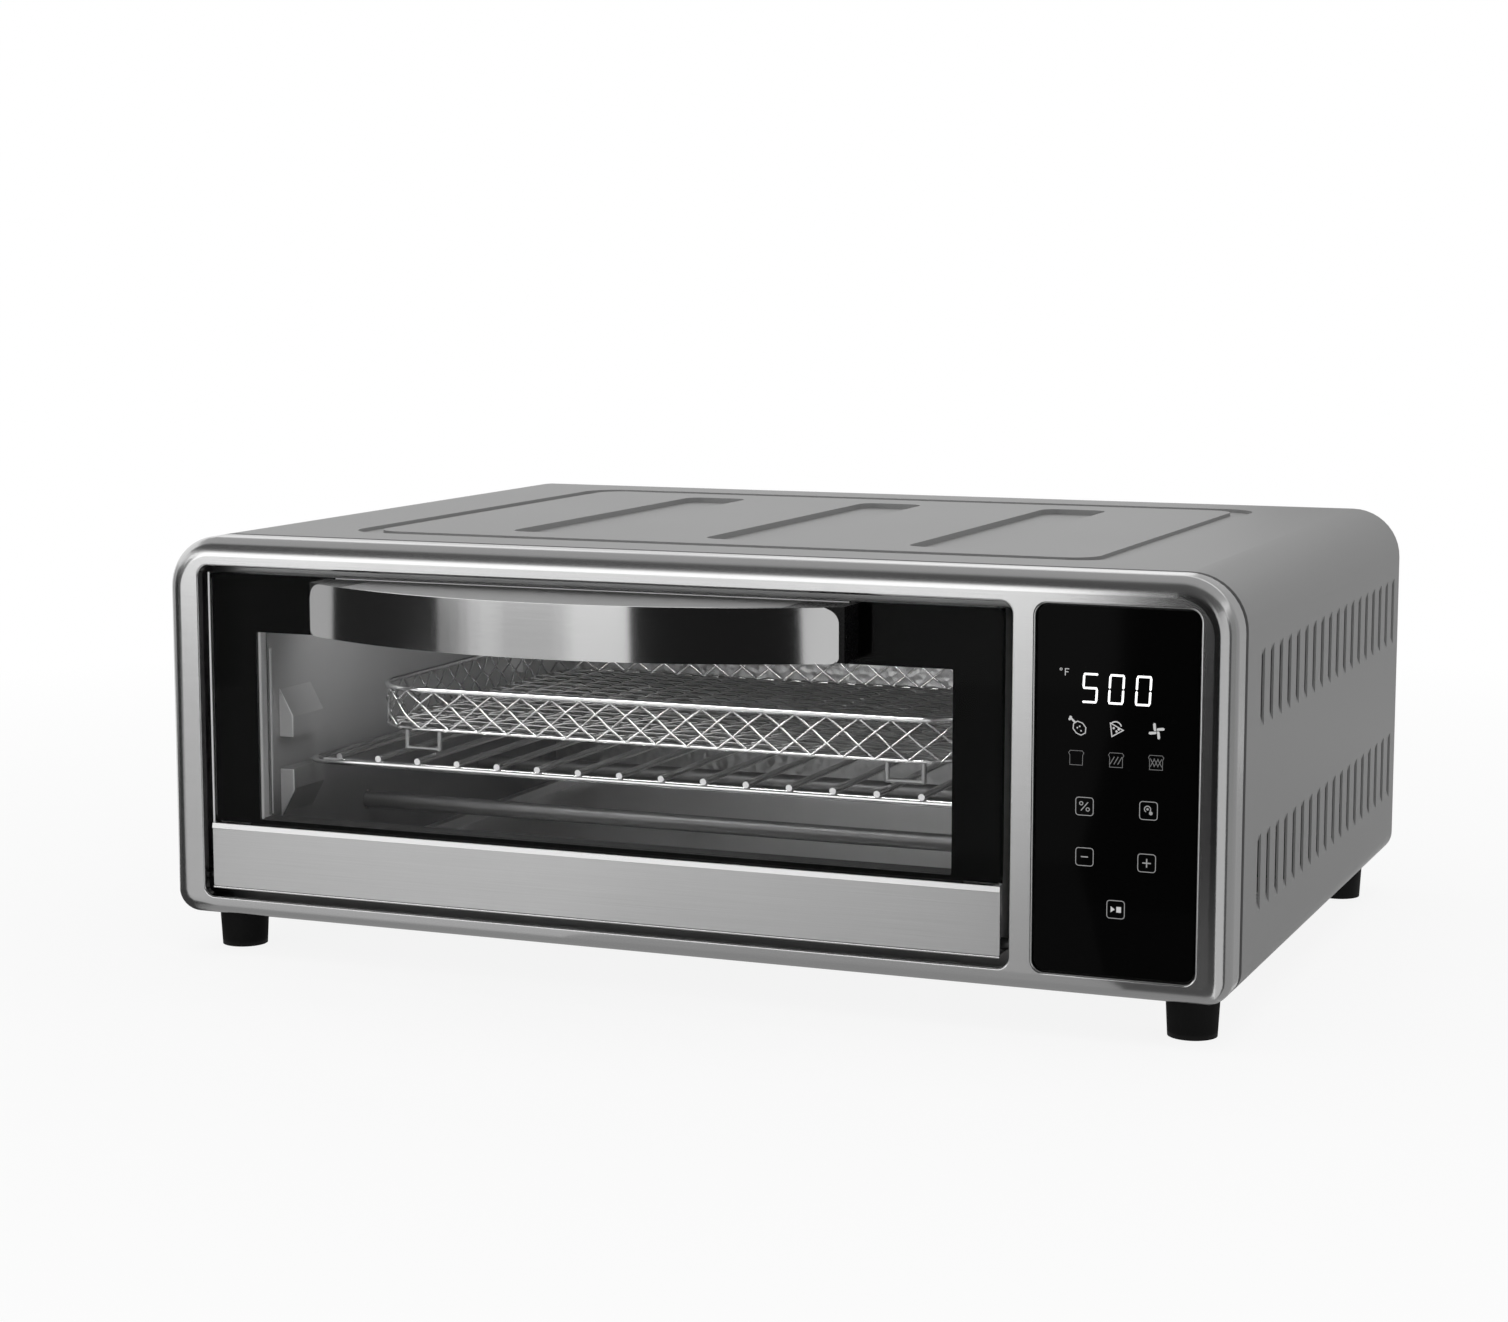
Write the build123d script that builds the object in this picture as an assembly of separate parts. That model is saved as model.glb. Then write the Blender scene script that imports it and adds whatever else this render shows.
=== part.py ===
from build123d import *
import os

# Toaster oven, millimetres, +Z up, the front faces -Y. Depths are first measured from the
# frame's front face rearwards, and every piece is moved to the shared frame on export.

# Case
case_width = 500.0
case_height = 176.0
case_depth = 357.0
case_sheet = 1.0
cut_margin = 1.0
top_corner_radius = 24.0
bottom_corner_radius = 11.0
wrap_flange = 16.0
frame_depth = 19.0
frame_sheet = 1.2
frame_roll_radius = 8.5
frame_lip_depth = 4.0
opening_edge_radius = 1.0
seam_gap = 0.6
frame_left_border = 17.6
frame_right_border = 14.0
frame_top_border = 13.0
frame_bottom_border = 9.3
mullion_width = 10.1
panel_opening_width = 69.0
opening_corner_radius = 5.0

# Feet
foot_height = 18.5
foot_top_radius = 11.5
foot_bottom_radius = 10.5
foot_side_inset = 21.3
foot_front_inset = 28.3
foot_rear_inset = 27.0
foot_screw_recess = 8.0

# Top embossing and side louvres
groove_width = 10.0
groove_depth = 1.6
groove_side_inset = 66.0
groove_front_inset = 50.0
groove_rear_inset = 27.0
groove_corner_radius = 18.0
channel_count = 3
channel_pitch = 98.0
channel_width = 33.0
channel_depth = 2.6
channel_front_inset = 82.0
channel_rear_inset = 60.0
channel_corner_radius = 8.0
louvre_count = 18
louvre_front_inset = 48.0
louvre_rear_inset = 12.0
louvre_width = 6.4
louvre_height = 33.0
louvre_press = 2.6
louvre_taper = 7.0
louvre_row_bases = (31.0, 109.5)

# Door
door_side_gap = 4.2
door_top_gap = 3.0
door_bottom_gap = 4.5
door_setback = 2.0
door_thickness = 16.0
door_sheet = 1.2
door_corner_radius = 4.0
glass_thickness = 4.0
gasket_thickness = 1.5
gasket_width = 6.0
strip_height = 29.6
strip_sheet = 1.0
strip_proud = 0.5
window_left_border = 23.2
window_right_border = 22.7
window_top_border = 27.0
window_bottom_border = 2.6
window_corner_radius = 1.0
window_jamb = 5.5
window_rebate = 7.0
glass_shelf = 2.0

# Door hinge
hinge_setback = 6.0
hinge_rise = 4.3
hinge_pin_radius = 2.5
hinge_pin_clearance = 0.06
hinge_block_length = 14.0
hinge_block_height = 15.0
hinge_bracket_width = 4.0
hinge_bracket_margin = 5.0

# Handle
handle_length = 254.0
handle_reach = 51.0
handle_bow = 34.5
handle_height = 23.5
handle_top_drop = 0.5
handle_strap_thickness = 1.5
handle_core_thickness = 5.0
handle_end_length = 23.0
handle_roof_thickness = 2.0
handle_corner_radius = 7.0
handle_lower_corner_radius = 2.5
handle_screw_radius = 2.5
handle_screw_depth = 10.0
handle_screw_end_gap = 1.0
handle_screw_head_radius = 5.0

# Oven cavity
liner_sheet = 1.0
cavity_side_inset = 24.6
cavity_floor_rise = 14.0
cavity_top_drop = 20.0
cavity_back_gap = 34.0
flange_gap = 1.0
flange_margin = 4.0
stand_width = 14.0
tab_depth = 6.8
tab_length = 28.0
tab_height = 22.0
tab_straight = 9.5
tab_front_inset = 23.0
tab_rear_inset = 40.0
wall_bead_radius = 0.9
wall_bead_inset = 1.4
wall_bead_top_drop = 9.5

# Heaters
heater_radius = 4.0
heater_hole_clearance = 0.5
heater_rise = 24.0
heater_top_drop = 14.0
heater_end_inset = 90.0
heater_holder_radius = 8.0
heater_holder_length = 12.0
heater_holder_end = 1.0
heater_holder_clearance = 0.1

# Wire rack and mesh basket
rack_rise = 54.0
rack_bar_radius = 1.6
rack_corner_radius = 8.0
rack_wire_radius = 1.5
rack_weld = 0.4
rack_wire_pitch = 20.6
rack_wire_shift = -3.3
rack_side_clearance = 3.5
rack_front_inset = 24.0
rack_rear_inset = 12.0
rack_headroom = 9.0
rest_gap = 0.2
basket_left_inset = 23.0
basket_right_inset = 10.0
basket_front_inset = 16.0
basket_rear_inset = 30.0
basket_height = 18.0
basket_wall = 1.6
basket_corner_radius = 30.0
basket_rim_radius = 1.3
basket_foot_height = 10.0
basket_foot_length = 17.0
basket_foot_radius = 1.2
basket_foot_inset = 4.0
mesh_pitch = 22.0
mesh_strand = 2.0

# Crumb tray
tray_side_clearance = 20.0
tray_front_clearance = 5.0
tray_height = 6.0
tray_sheet = 0.8
tray_slot_clearance = 1.0
tray_lip_height = 12.0
tray_lip_overhang = 4.0
tray_lip_thickness = 1.2

# Convection fan
fan_radius = 38.0
fan_hub_radius = 8.0
fan_width = 14.0
fan_blade_count = 8
fan_blade_thickness = 1.2
fan_rise = 79.5
fan_wall_gap = 4.0
fan_housing_depth = 26.0
fan_housing_clearance = 6.0
fan_housing_flange = 6.0
guard_hole_radius = 3.0
guard_hole_pitch = 9.0
guard_ring_holes = 6
shaft_radius = 3.0
shaft_clearance = 0.06
shaft_hole_margin = 1.0
motor_radius = 27.0
motor_length = 34.0
motor_plate = 3.0
motor_screw_radius = 2.0
motor_screw_circle = 19.0
cooling_fan_radius = 30.0
cooling_fan_width = 12.0
cooling_fan_gap = 5.0

# Control panel and electronics
panel_gap = 0.8
panel_setback = 1.2
panel_glass_thickness = 3.0
backing_thickness = 3.0
backing_overlap = 3.0
display_width = 48.0
display_height = 22.0
display_depth = 8.0
display_top_drop = 24.0
board_thickness = 1.6
board_gap = 10.0
board_margin = 6.0
spacer_radius = 3.0
power_board_depth = 110.0
power_board_rise = 8.0
power_board_margin = 12.0
chip_rows = 3
chip_width = 20.0
chip_height = 10.0
chip_thickness = 3.2
relay_count = 3
relay_width = 16.0
relay_length = 22.0
relay_pitch = 20.0
transformer_size = 34.0
transformer_height = 27.0
probe_radius = 2.5
probe_reach = 9.0
probe_tail = 11.0
probe_collar_radius = 5.0
probe_collar_length = 5.0
probe_front_inset = 45.0
probe_top_drop = 34.0
cutout_radius = 8.0
cutout_height = 9.0

# Rear cover, cord gland and fasteners
rear_inset = 2.0
rear_vent_count = 14
rear_vent_width = 4.0
rear_vent_height = 26.0
rear_vent_pitch = 12.0
rear_vent_rise = 70.0
base_vent_count = 14
base_vent_width = 4.0
base_vent_length = 26.0
base_vent_pitch = 8.0
gland_radius = 7.0
gland_flange_radius = 9.5
gland_proud = 6.0
gland_flange_thickness = 3.0
gland_rise = 34.0
gland_side_inset = 62.0
cord_bore_radius = 3.6
screw_radius = 2.0
screw_head_radius = 3.6
screw_head_height = 2.0
screw_clearance = 0.1
rear_tab_depth = 12.0
rear_tab_width = 12.0

# Places worked out from the sizes above
half_width = case_width / 2
case_bottom = foot_height
case_top = case_bottom + case_height
opening_left = -half_width + frame_left_border
panel_right = half_width - frame_right_border
panel_left = panel_right - panel_opening_width
opening_right = panel_left - mullion_width
opening_bottom = case_bottom + frame_bottom_border
opening_top = case_top - frame_top_border
wrap_front = frame_depth + seam_gap

door_left = opening_left + door_side_gap
door_right = opening_right - door_side_gap
door_bottom = opening_bottom + door_bottom_gap
door_top = opening_top - door_top_gap
door_centre = (door_left + door_right) / 2
door_back = door_setback + door_thickness
glass_back = door_setback + glass_thickness
gasket_back = glass_back + gasket_thickness
strip_front = door_setback - strip_proud
strip_top = door_bottom + strip_height
glass_bottom = strip_top + rest_gap
window_left = door_left + window_left_border
window_right = door_right - window_right_border
window_bottom = strip_top + window_bottom_border
window_top = door_top - window_top_border
hinge_y = door_setback + hinge_setback
hinge_z = door_bottom + hinge_rise

handle_top = door_top - handle_top_drop
handle_bottom = handle_top - handle_height
handle_half = handle_length / 2
handle_bow_radius = (handle_half**2 + handle_bow**2) / (2 * handle_bow)
handle_screw_offset = handle_half - handle_end_length / 2
handle_screw_z = (handle_top + handle_bottom) / 2

flange_front = frame_depth + flange_gap
cavity_front = flange_front + liner_sheet
cavity_back = case_depth - cavity_back_gap
cavity_left = opening_left + cavity_side_inset
cavity_right = opening_right - cavity_side_inset
cavity_floor = case_bottom + cavity_floor_rise
cavity_top = case_top - cavity_top_drop

rack_z = cavity_floor + rack_rise
rack_left = cavity_left + rack_side_clearance
rack_right = cavity_right - rack_side_clearance
rack_front = cavity_front + rack_front_inset
rack_back = cavity_back - rack_rear_inset
rack_wire_z = rack_z + rack_bar_radius + rack_wire_radius - rack_weld
rack_top = rack_wire_z + rack_wire_radius
lower_tab_top = rack_z - rack_bar_radius - rest_gap
upper_tab_bottom = rack_top + rack_headroom

basket_left = rack_left + basket_left_inset
basket_right = rack_right - basket_right_inset
basket_front = rack_front + basket_front_inset
basket_back = rack_back - basket_rear_inset
basket_floor_z = rack_top + rest_gap + basket_foot_height
basket_rim_z = basket_floor_z + basket_height

tray_left = cavity_left + tray_side_clearance
tray_right = cavity_right - tray_side_clearance
tray_front = cavity_front + tray_front_clearance
tray_bottom = cavity_floor + rest_gap
tray_top = tray_bottom + tray_height
slot_top = tray_top + tray_slot_clearance

heater_low_z = cavity_floor + heater_rise
heater_high_z = cavity_top - heater_top_drop
heater_front_y = cavity_front + heater_end_inset
heater_rear_y = cavity_back - heater_end_inset
heater_hole_radius = heater_radius + heater_hole_clearance

fan_y = (cavity_front + cavity_back) / 2
fan_z = cavity_floor + fan_rise
wall_outside = cavity_right + liner_sheet
housing_radius = fan_radius + fan_housing_clearance
housing_back = wall_outside + fan_housing_depth
shaft_hole_radius = shaft_radius + shaft_hole_margin
fan_start = wall_outside + fan_wall_gap
motor_start = housing_back + motor_plate
motor_end = motor_start + motor_length
cooling_start = motor_end + cooling_fan_gap
cooling_end = cooling_start + cooling_fan_width
probe_y = cavity_front + probe_front_inset
probe_z = cavity_top - probe_top_drop

panel_glass_back = panel_setback + panel_glass_thickness
backing_front = max(panel_glass_back, frame_lip_depth) + rest_gap
backing_back = backing_front + backing_thickness
board_front = backing_back + board_gap
board_back = board_front + board_thickness

screw_hole_radius = screw_radius + screw_clearance
base_bottom = case_bottom + case_sheet + rest_gap
base_top = base_bottom + case_sheet
rear_face = case_depth - rear_inset
rear_plate_front = rear_face - case_sheet
tray_back = rear_face + rest_gap
gland_x = half_width - gland_side_inset
gland_z = case_bottom + gland_rise
rear_reach = rear_face + max(gland_proud, tray_lip_thickness + rest_gap)
middle_y = (max(rear_reach, case_depth) - handle_reach) / 2

foot_places = {
    "front_left": (-half_width + foot_side_inset, foot_front_inset),
    "front_right": (half_width - foot_side_inset, foot_front_inset),
    "rear_left": (-half_width + foot_side_inset, case_depth - foot_rear_inset),
    "rear_right": (half_width - foot_side_inset, case_depth - foot_rear_inset),
}


def block(x0, x1, y0, y1, z0, z1):
    """A box between two corners."""
    return Pos((x0 + x1) / 2, (y0 + y1) / 2, (z0 + z1) / 2) * Box(x1 - x0, y1 - y0, z1 - z0)


def rod_x(x0, x1, y, z, radius):
    """A round bar along X."""
    return Pos((x0 + x1) / 2, y, z) * Rot(0, 90, 0) * Cylinder(radius, x1 - x0)


def rod_y(x, y0, y1, z, radius):
    """A round bar along Y."""
    return Pos(x, (y0 + y1) / 2, z) * Rot(90, 0, 0) * Cylinder(radius, y1 - y0)


def rod_z(x, y, z0, z1, radius):
    """A round bar along Z."""
    return Pos(x, y, (z0 + z1) / 2) * Cylinder(radius, z1 - z0)


def slab(face, y0, y1):
    """A face drawn in X and Z, made solid from depth y0 to depth y1."""
    return Pos(0, y0, 0) * extrude(Plane.XZ * face, amount=-(y1 - y0))


def rounded(x0, x1, z0, z1, radius):
    """A rectangle between two corners with round corners."""
    return Pos((x0 + x1) / 2, (z0 + z1) / 2) * RectangleRounded(x1 - x0, z1 - z0, radius)


def case_outline(inset):
    """The case's section: large radii at the top, smaller ones at the bottom."""
    face = Rectangle(case_width - 2 * inset, case_height - 2 * inset)
    face = fillet(face.vertices().group_by(Axis.Y)[-1], top_corner_radius - inset)
    face = fillet(face.vertices().group_by(Axis.Y)[0], bottom_corner_radius - inset)
    return Pos(0, case_bottom + case_height / 2) * face


def round_front(solid, radius):
    """Rounds the foremost edges of a solid."""
    return fillet(solid.edges().group_by(Axis.Y)[0], radius)


def opening_face(x0, x1, margin):
    """One of the frame's two openings, grown by a margin."""
    return rounded(
        x0 - margin,
        x1 + margin,
        opening_bottom - margin,
        opening_top + margin,
        opening_corner_radius + margin,
    )


def opening_rim(frame, x0, x1):
    """The front edges round one of the frame's openings."""
    edges = frame.edges().group_by(Axis.Y)[0]
    return edges.filter_by_position(Axis.X, x0, x1).filter_by_position(Axis.Z, opening_bottom, opening_top)


def front_frame():
    """Pressed steel frame with a rolled outer edge and a turned-in lip at each opening."""
    outside = round_front(slab(case_outline(0), 0, frame_depth), frame_roll_radius)
    inside = slab(case_outline(frame_sheet), frame_sheet, frame_depth)
    inside = round_front(inside, frame_roll_radius - frame_sheet)
    frame = outside - inside
    openings = ((opening_left, opening_right), (panel_left, panel_right))
    for x0, x1 in openings:
        frame += slab(opening_face(x0, x1, frame_sheet), 0, frame_lip_depth)
    for x0, x1 in openings:
        frame -= slab(opening_face(x0, x1, 0), -cut_margin, frame_lip_depth + cut_margin)
    for x0, x1 in openings:
        frame = fillet(opening_rim(frame, x0, x1), opening_edge_radius)
    return frame


def pressing(x0, x1, y0, y1, depth, radius):
    """A plan-view shape from the case's top down to a depth."""
    face = Pos((x0 + x1) / 2, (y0 + y1) / 2) * RectangleRounded(x1 - x0, y1 - y0, radius)
    return Pos(0, 0, case_top - depth) * extrude(face, amount=depth)


def emboss(wrap):
    """Presses a rounded groove and parallel channels into the top, at even sheet thickness."""
    side = half_width - groove_side_inset
    front = groove_front_inset
    back = case_depth - groove_rear_inset

    def groove(spread, depth):
        ring = pressing(
            -side - spread, side + spread, front - spread, back + spread, depth,
            groove_corner_radius + spread,
        )
        inner = groove_width + spread
        return ring - pressing(
            -side + inner, side - inner, front + inner, back - inner, depth,
            groove_corner_radius - groove_width / 2,
        )

    def channel(index, spread, depth):
        x = (index - (channel_count - 1) / 2) * channel_pitch
        half = channel_width / 2 + spread
        return pressing(
            x - half, x + half,
            channel_front_inset - spread, case_depth - channel_rear_inset + spread,
            depth, channel_corner_radius + spread,
        )

    wrap += groove(case_sheet, groove_depth + case_sheet)
    for index in range(channel_count):
        wrap += channel(index, case_sheet, channel_depth + case_sheet)
    wrap -= groove(0, groove_depth)
    for index in range(channel_count):
        wrap -= channel(index, 0, channel_depth)
    return wrap


def prisms(outlines, low, high):
    """Solids of several plan outlines between two levels."""
    sketch = Sketch() + [make_face(Polyline(*outline, close=True)) for outline in outlines]
    return Pos(0, 0, low) * extrude(sketch, amount=high - low)


def louvre_slopes(end, way):
    """Sloping sheet from the case's side down to the louvres' depth, on both sides."""
    inner_end = end + way * louvre_taper
    slopes = []
    for side in (-1, 1):
        outer = side * half_width
        deep = outer - side * louvre_press
        face = make_face(Polyline(
            (outer, end), (deep, inner_end), (deep - side * case_sheet, inner_end), (outer - side * case_sheet, end),
            close=True,
        ))
        slopes.append(slab(face, louvre_front_inset, case_depth))
    return Part() + slopes


def louvre_rows(wrap):
    """Two rows of louvres, pressed inwards with sloping ends and open at their rear edge, on both sides."""
    last = case_depth - louvre_rear_inset - louvre_width
    pitch = (last - louvre_front_inset) / (louvre_count - 1)
    slots, ramps, ends = [], [], []
    for side in (-1, 1):
        outer = side * half_width
        beyond = outer + side * cut_margin
        inner = outer - side * case_sheet
        deep = outer - side * louvre_press
        back = deep - side * case_sheet
        for index in range(louvre_count):
            y0 = louvre_front_inset + pitch * index
            y1 = y0 + louvre_width
            slots.append(((beyond, y0), (beyond, y1), (inner, y1), (inner, y0)))
            ramps.append(((outer, y0), (deep, y1), (back, y1), (inner, y0)))
            ends.append(((outer, y0), (outer, y1), (back, y1), (inner, y0)))
    for base in louvre_row_bases:
        z0 = case_bottom + base
        z1 = z0 + louvre_height
        wrap -= prisms(slots, z0, z1)
        wrap += [
            prisms(ramps, z0, z1),
            prisms(ends, z0, z0 + louvre_taper) & louvre_slopes(z0, 1),
            prisms(ends, z1 - louvre_taper, z1) & louvre_slopes(z1, -1),
        ]
    return wrap


def wrap_cover():
    """Bent sheet over the top and both sides, with a flange turned in under each side."""
    wrap = slab(case_outline(0), wrap_front, case_depth)
    wrap -= slab(case_outline(case_sheet), wrap_front - cut_margin, case_depth + cut_margin)
    gap = half_width - bottom_corner_radius - wrap_flange
    low, high = case_bottom - cut_margin, case_bottom + case_sheet + cut_margin
    wrap -= block(-gap, gap, 0, case_depth + cut_margin, low, high)
    for x, y in foot_places.values():
        wrap -= rod_z(x, y, low, high, screw_hole_radius)
    return louvre_rows(emboss(wrap))


def base_plate():
    """Floor of the case, resting on the wrap's flanges, vented below the electronics."""
    side = half_width - bottom_corner_radius
    plate = block(-side, side, wrap_front, rear_plate_front - rest_gap, base_bottom, base_top)
    low, high = base_bottom - cut_margin, base_top + cut_margin
    for x, y in foot_places.values():
        plate -= rod_z(x, y, low, high, screw_hole_radius)
    for index in range(base_vent_count):
        x = cooling_start
        y = fan_y + (index - base_vent_count / 2) * base_vent_pitch
        plate -= block(x, x + base_vent_length, y, y + base_vent_width, low, high)
    return plate


def foot(x, y):
    """Tapered foot with a recess for its screw."""
    body = Pos(x, y, foot_height / 2) * Cone(foot_bottom_radius, foot_top_radius, foot_height)
    body -= rod_z(x, y, -cut_margin, foot_screw_recess, screw_head_radius + screw_clearance)
    return body - rod_z(x, y, 0, foot_height + cut_margin, screw_hole_radius)


def foot_screws():
    """One screw up through each foot, the flange and the base plate."""
    group = []
    for x, y in foot_places.values():
        head_top = foot_screw_recess
        shank = rod_z(x, y, head_top, base_top + screw_head_height, screw_radius)
        group.append(shank + rod_z(x, y, head_top - screw_head_height, head_top, screw_head_radius))
    return group


def rear_screw_places():
    """Screw places on the rear cover's four corners."""
    x = half_width - top_corner_radius
    low = case_bottom + top_corner_radius
    high = case_top - top_corner_radius
    return [(sx * x, z) for sx in (-1, 1) for z in (low, high)]


def rear_cover():
    """Flat rear plate with vents, the tray slot, the cord hole and a tab at each screw."""
    y0, y1 = rear_plate_front - cut_margin, rear_face + cut_margin
    plate = slab(case_outline(case_sheet + rest_gap), rear_plate_front, rear_face)
    plate -= block(-half_width, half_width, 0, case_depth, 0, base_bottom + rest_gap)
    plate -= block(
        tray_left - tray_slot_clearance, tray_right + tray_slot_clearance,
        y0, y1, tray_bottom - rest_gap, slot_top,
    )
    vents = []
    for index in range(rear_vent_count):
        x = door_centre + (index - (rear_vent_count - 1) / 2) * rear_vent_pitch
        z = case_bottom + rear_vent_rise
        vents.append(Pos(x, z) * SlotOverall(rear_vent_height, rear_vent_width, rotation=90))
    plate -= slab(Sketch() + vents, y0, y1)
    for x, z in rear_screw_places():
        plate -= rod_y(x, y0, y1, z, screw_hole_radius)
    return plate - rod_y(gland_x, y0, y1, gland_z, gland_radius)


def rear_brackets():
    """Angle tabs on the wrap's sides that take the rear cover's screws."""
    group = []
    back = rear_plate_front - rest_gap
    front = back - rear_tab_depth
    room = slab(case_outline(case_sheet + rest_gap), front, back)
    for x, z in rear_screw_places():
        side = 1 if x > 0 else -1
        inner = x - side * rear_tab_width / 2
        bend = side * (half_width - 2 * case_sheet - rest_gap)
        z0, z1 = z - rear_tab_width / 2, z + rear_tab_width / 2
        tab = block(*sorted((inner, side * half_width)), back - case_sheet, back, z0, z1)
        tab += block(*sorted((bend, side * half_width)), front, back, z0, z1)
        tab -= rod_y(x, front, back + cut_margin, z, screw_hole_radius)
        group.append(tab & room)
    return group


def rear_cover_screws():
    """Pan-head screws that hold the rear cover."""
    group = []
    for x, z in rear_screw_places():
        shank = rod_y(x, rear_plate_front - rear_tab_depth, rear_face, z, screw_radius)
        head = rod_y(x, rear_face, rear_face + screw_head_height, z, screw_head_radius)
        group.append(shank + head)
    return group


def cord_gland():
    """Round bush in the rear cover for the mains lead."""
    front, back = rear_plate_front - gland_proud, rear_face + gland_proud
    bush = rod_y(gland_x, front, back, gland_z, gland_radius)
    bush += rod_y(gland_x, rear_face, rear_face + gland_flange_thickness, gland_z, gland_flange_radius)
    return bush - rod_y(gland_x, front - cut_margin, back + cut_margin, gland_z, cord_bore_radius)


def cavity_flange():
    """Face plate behind the frame, with the oven's mouth."""
    plate = slab(case_outline(flange_margin), flange_front, cavity_front)
    plate -= block(panel_left, half_width, 0, case_depth, 0, case_top)
    mouth = rounded(cavity_left, cavity_right, cavity_floor, cavity_top, flange_margin)
    return plate - slab(mouth, flange_front - cut_margin, cavity_front + cut_margin)


def cavity_ceiling():
    """Upper panel of the oven."""
    outer = liner_sheet
    return block(
        cavity_left - outer, cavity_right + outer, cavity_front, cavity_back,
        cavity_top, cavity_top + outer,
    )


def cavity_floor_panel():
    """Lower panel of the oven, which carries the crumb tray."""
    outer = liner_sheet
    return block(
        cavity_left - outer, cavity_right + outer, cavity_front, cavity_back,
        cavity_floor - outer, cavity_floor,
    )


def rack_tab(inner_x, into, y, z, up):
    """A pressed guide on a side wall: a level ledge whose far side slopes back into the wall."""
    way = 1 if up else -1
    tip_x = inner_x + into * tab_depth
    profile = make_face(Polyline(
        (inner_x, z), (tip_x, z), (tip_x, z + way * tab_straight), (inner_x, z + way * tab_height),
        close=True,
    ))
    return slab(profile, y - tab_length / 2, y + tab_length / 2)


def side_wall(left):
    """Side panel of the oven with its rack guides, heater holes and a bead along the mouth."""
    inner_x = cavity_left if left else cavity_right
    into = 1 if left else -1
    x0, x1 = sorted((inner_x, inner_x - into * liner_sheet))
    wall = block(x0, x1, cavity_front, cavity_back, cavity_floor, cavity_top)
    for y in (cavity_front + tab_front_inset, cavity_back - tab_rear_inset):
        wall += rack_tab(inner_x, into, y, lower_tab_top, False)
        wall += rack_tab(inner_x, into, y, upper_tab_bottom, True)
    bead_y = cavity_front + wall_bead_inset
    bead_top = window_top - wall_bead_top_drop
    wall += rod_z(inner_x, bead_y, window_bottom, bead_top, wall_bead_radius)
    for z in (window_bottom, bead_top):
        wall += Pos(inner_x, bead_y, z) * Sphere(wall_bead_radius)
    for y in (heater_front_y, heater_rear_y):
        for z in (heater_low_z, heater_high_z):
            wall -= rod_x(x0 - cut_margin, x1 + cut_margin, y, z, heater_hole_radius)
    return wall


def cavity_left_wall():
    """Left panel of the oven."""
    return side_wall(True)


def cavity_right_wall():
    """Right panel of the oven, with the fan's hole and the probe's hole."""
    wall = side_wall(False)
    x0, x1 = cavity_right - cut_margin, wall_outside + cut_margin
    wall -= rod_x(x0, x1, fan_y, fan_z, housing_radius - fan_housing_clearance / 2)
    return wall - rod_x(x0, x1, probe_y, probe_z, probe_radius + screw_clearance)


def cavity_back_panel():
    """Rear panel of the oven, slotted for the crumb tray."""
    outer = liner_sheet
    panel = block(
        cavity_left - outer, cavity_right + outer, cavity_back, cavity_back + outer,
        cavity_floor - outer, cavity_top + outer,
    )
    return panel - block(
        tray_left - tray_slot_clearance, tray_right + tray_slot_clearance,
        cavity_back - cut_margin, cavity_back + outer + cut_margin, cavity_floor, slot_top,
    )


def cavity_stands():
    """Channel strips that carry the oven's floor on the base plate."""
    group = []
    high = cavity_floor - liner_sheet
    for y in (heater_front_y, heater_rear_y):
        strip = block(cavity_left, cavity_right, y, y + stand_width, base_top, high)
        group.append(strip - block(
            cavity_left, cavity_right, y + liner_sheet, y + stand_width - liner_sheet,
            base_top, high - liner_sheet,
        ))
    return group


def heater(y, z):
    """Sheathed heater rod across the oven."""
    reach = liner_sheet + heater_holder_length - heater_holder_end - rest_gap
    return rod_x(cavity_left - reach, cavity_right + reach, y, z, heater_radius)


def heater_holders():
    """Ceramic end holders, one on each end of each heater."""
    group = []
    for y in (heater_front_y, heater_rear_y):
        for z in (heater_low_z, heater_high_z):
            for wall_x, out in ((cavity_left - liner_sheet, -1), (wall_outside, 1)):
                x0, x1 = sorted((wall_x, wall_x + out * heater_holder_length))
                cap = rod_x(x0, x1, y, z, heater_holder_radius)
                deep = wall_x + out * (heater_holder_length - heater_holder_end)
                x0, x1 = sorted((wall_x - out * cut_margin, deep))
                group.append(cap - rod_x(x0, x1, y, z, heater_radius + heater_holder_clearance))
    return group


def fan_guard():
    """Perforated disc over the fan, on the oven side of the wall."""
    disc = rod_x(cavity_right - liner_sheet, cavity_right, fan_y, fan_z, housing_radius)
    rings = int((fan_radius - guard_hole_radius) / guard_hole_pitch)
    holes = [Circle(guard_hole_radius)]
    for ring in range(1, rings + 1):
        spots = PolarLocations(ring * guard_hole_pitch, ring * guard_ring_holes)
        holes += [spot * Circle(guard_hole_radius) for spot in spots]
    drill = Plane.YZ * extrude(Sketch() + holes, amount=2 * liner_sheet, both=True)
    return disc - Pos(cavity_right, fan_y, fan_z) * drill


def fan_housing():
    """Dished housing on the outside of the right wall."""
    sheet = liner_sheet
    dish = rod_x(wall_outside, housing_back, fan_y, fan_z, housing_radius + sheet)
    dish += rod_x(wall_outside, wall_outside + sheet, fan_y, fan_z, housing_radius + fan_housing_flange)
    dish -= rod_x(wall_outside - cut_margin, housing_back - sheet, fan_y, fan_z, housing_radius)
    end = housing_back + cut_margin
    dish -= rod_x(wall_outside, end, fan_y, fan_z, shaft_hole_radius)
    for y, z in motor_screw_places():
        dish -= rod_x(wall_outside, end, y, z, motor_screw_radius + screw_clearance)
    return dish


def motor_screw_places():
    """Two screws beside the shaft."""
    return [(fan_y - motor_screw_circle, fan_z), (fan_y + motor_screw_circle, fan_z)]


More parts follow.
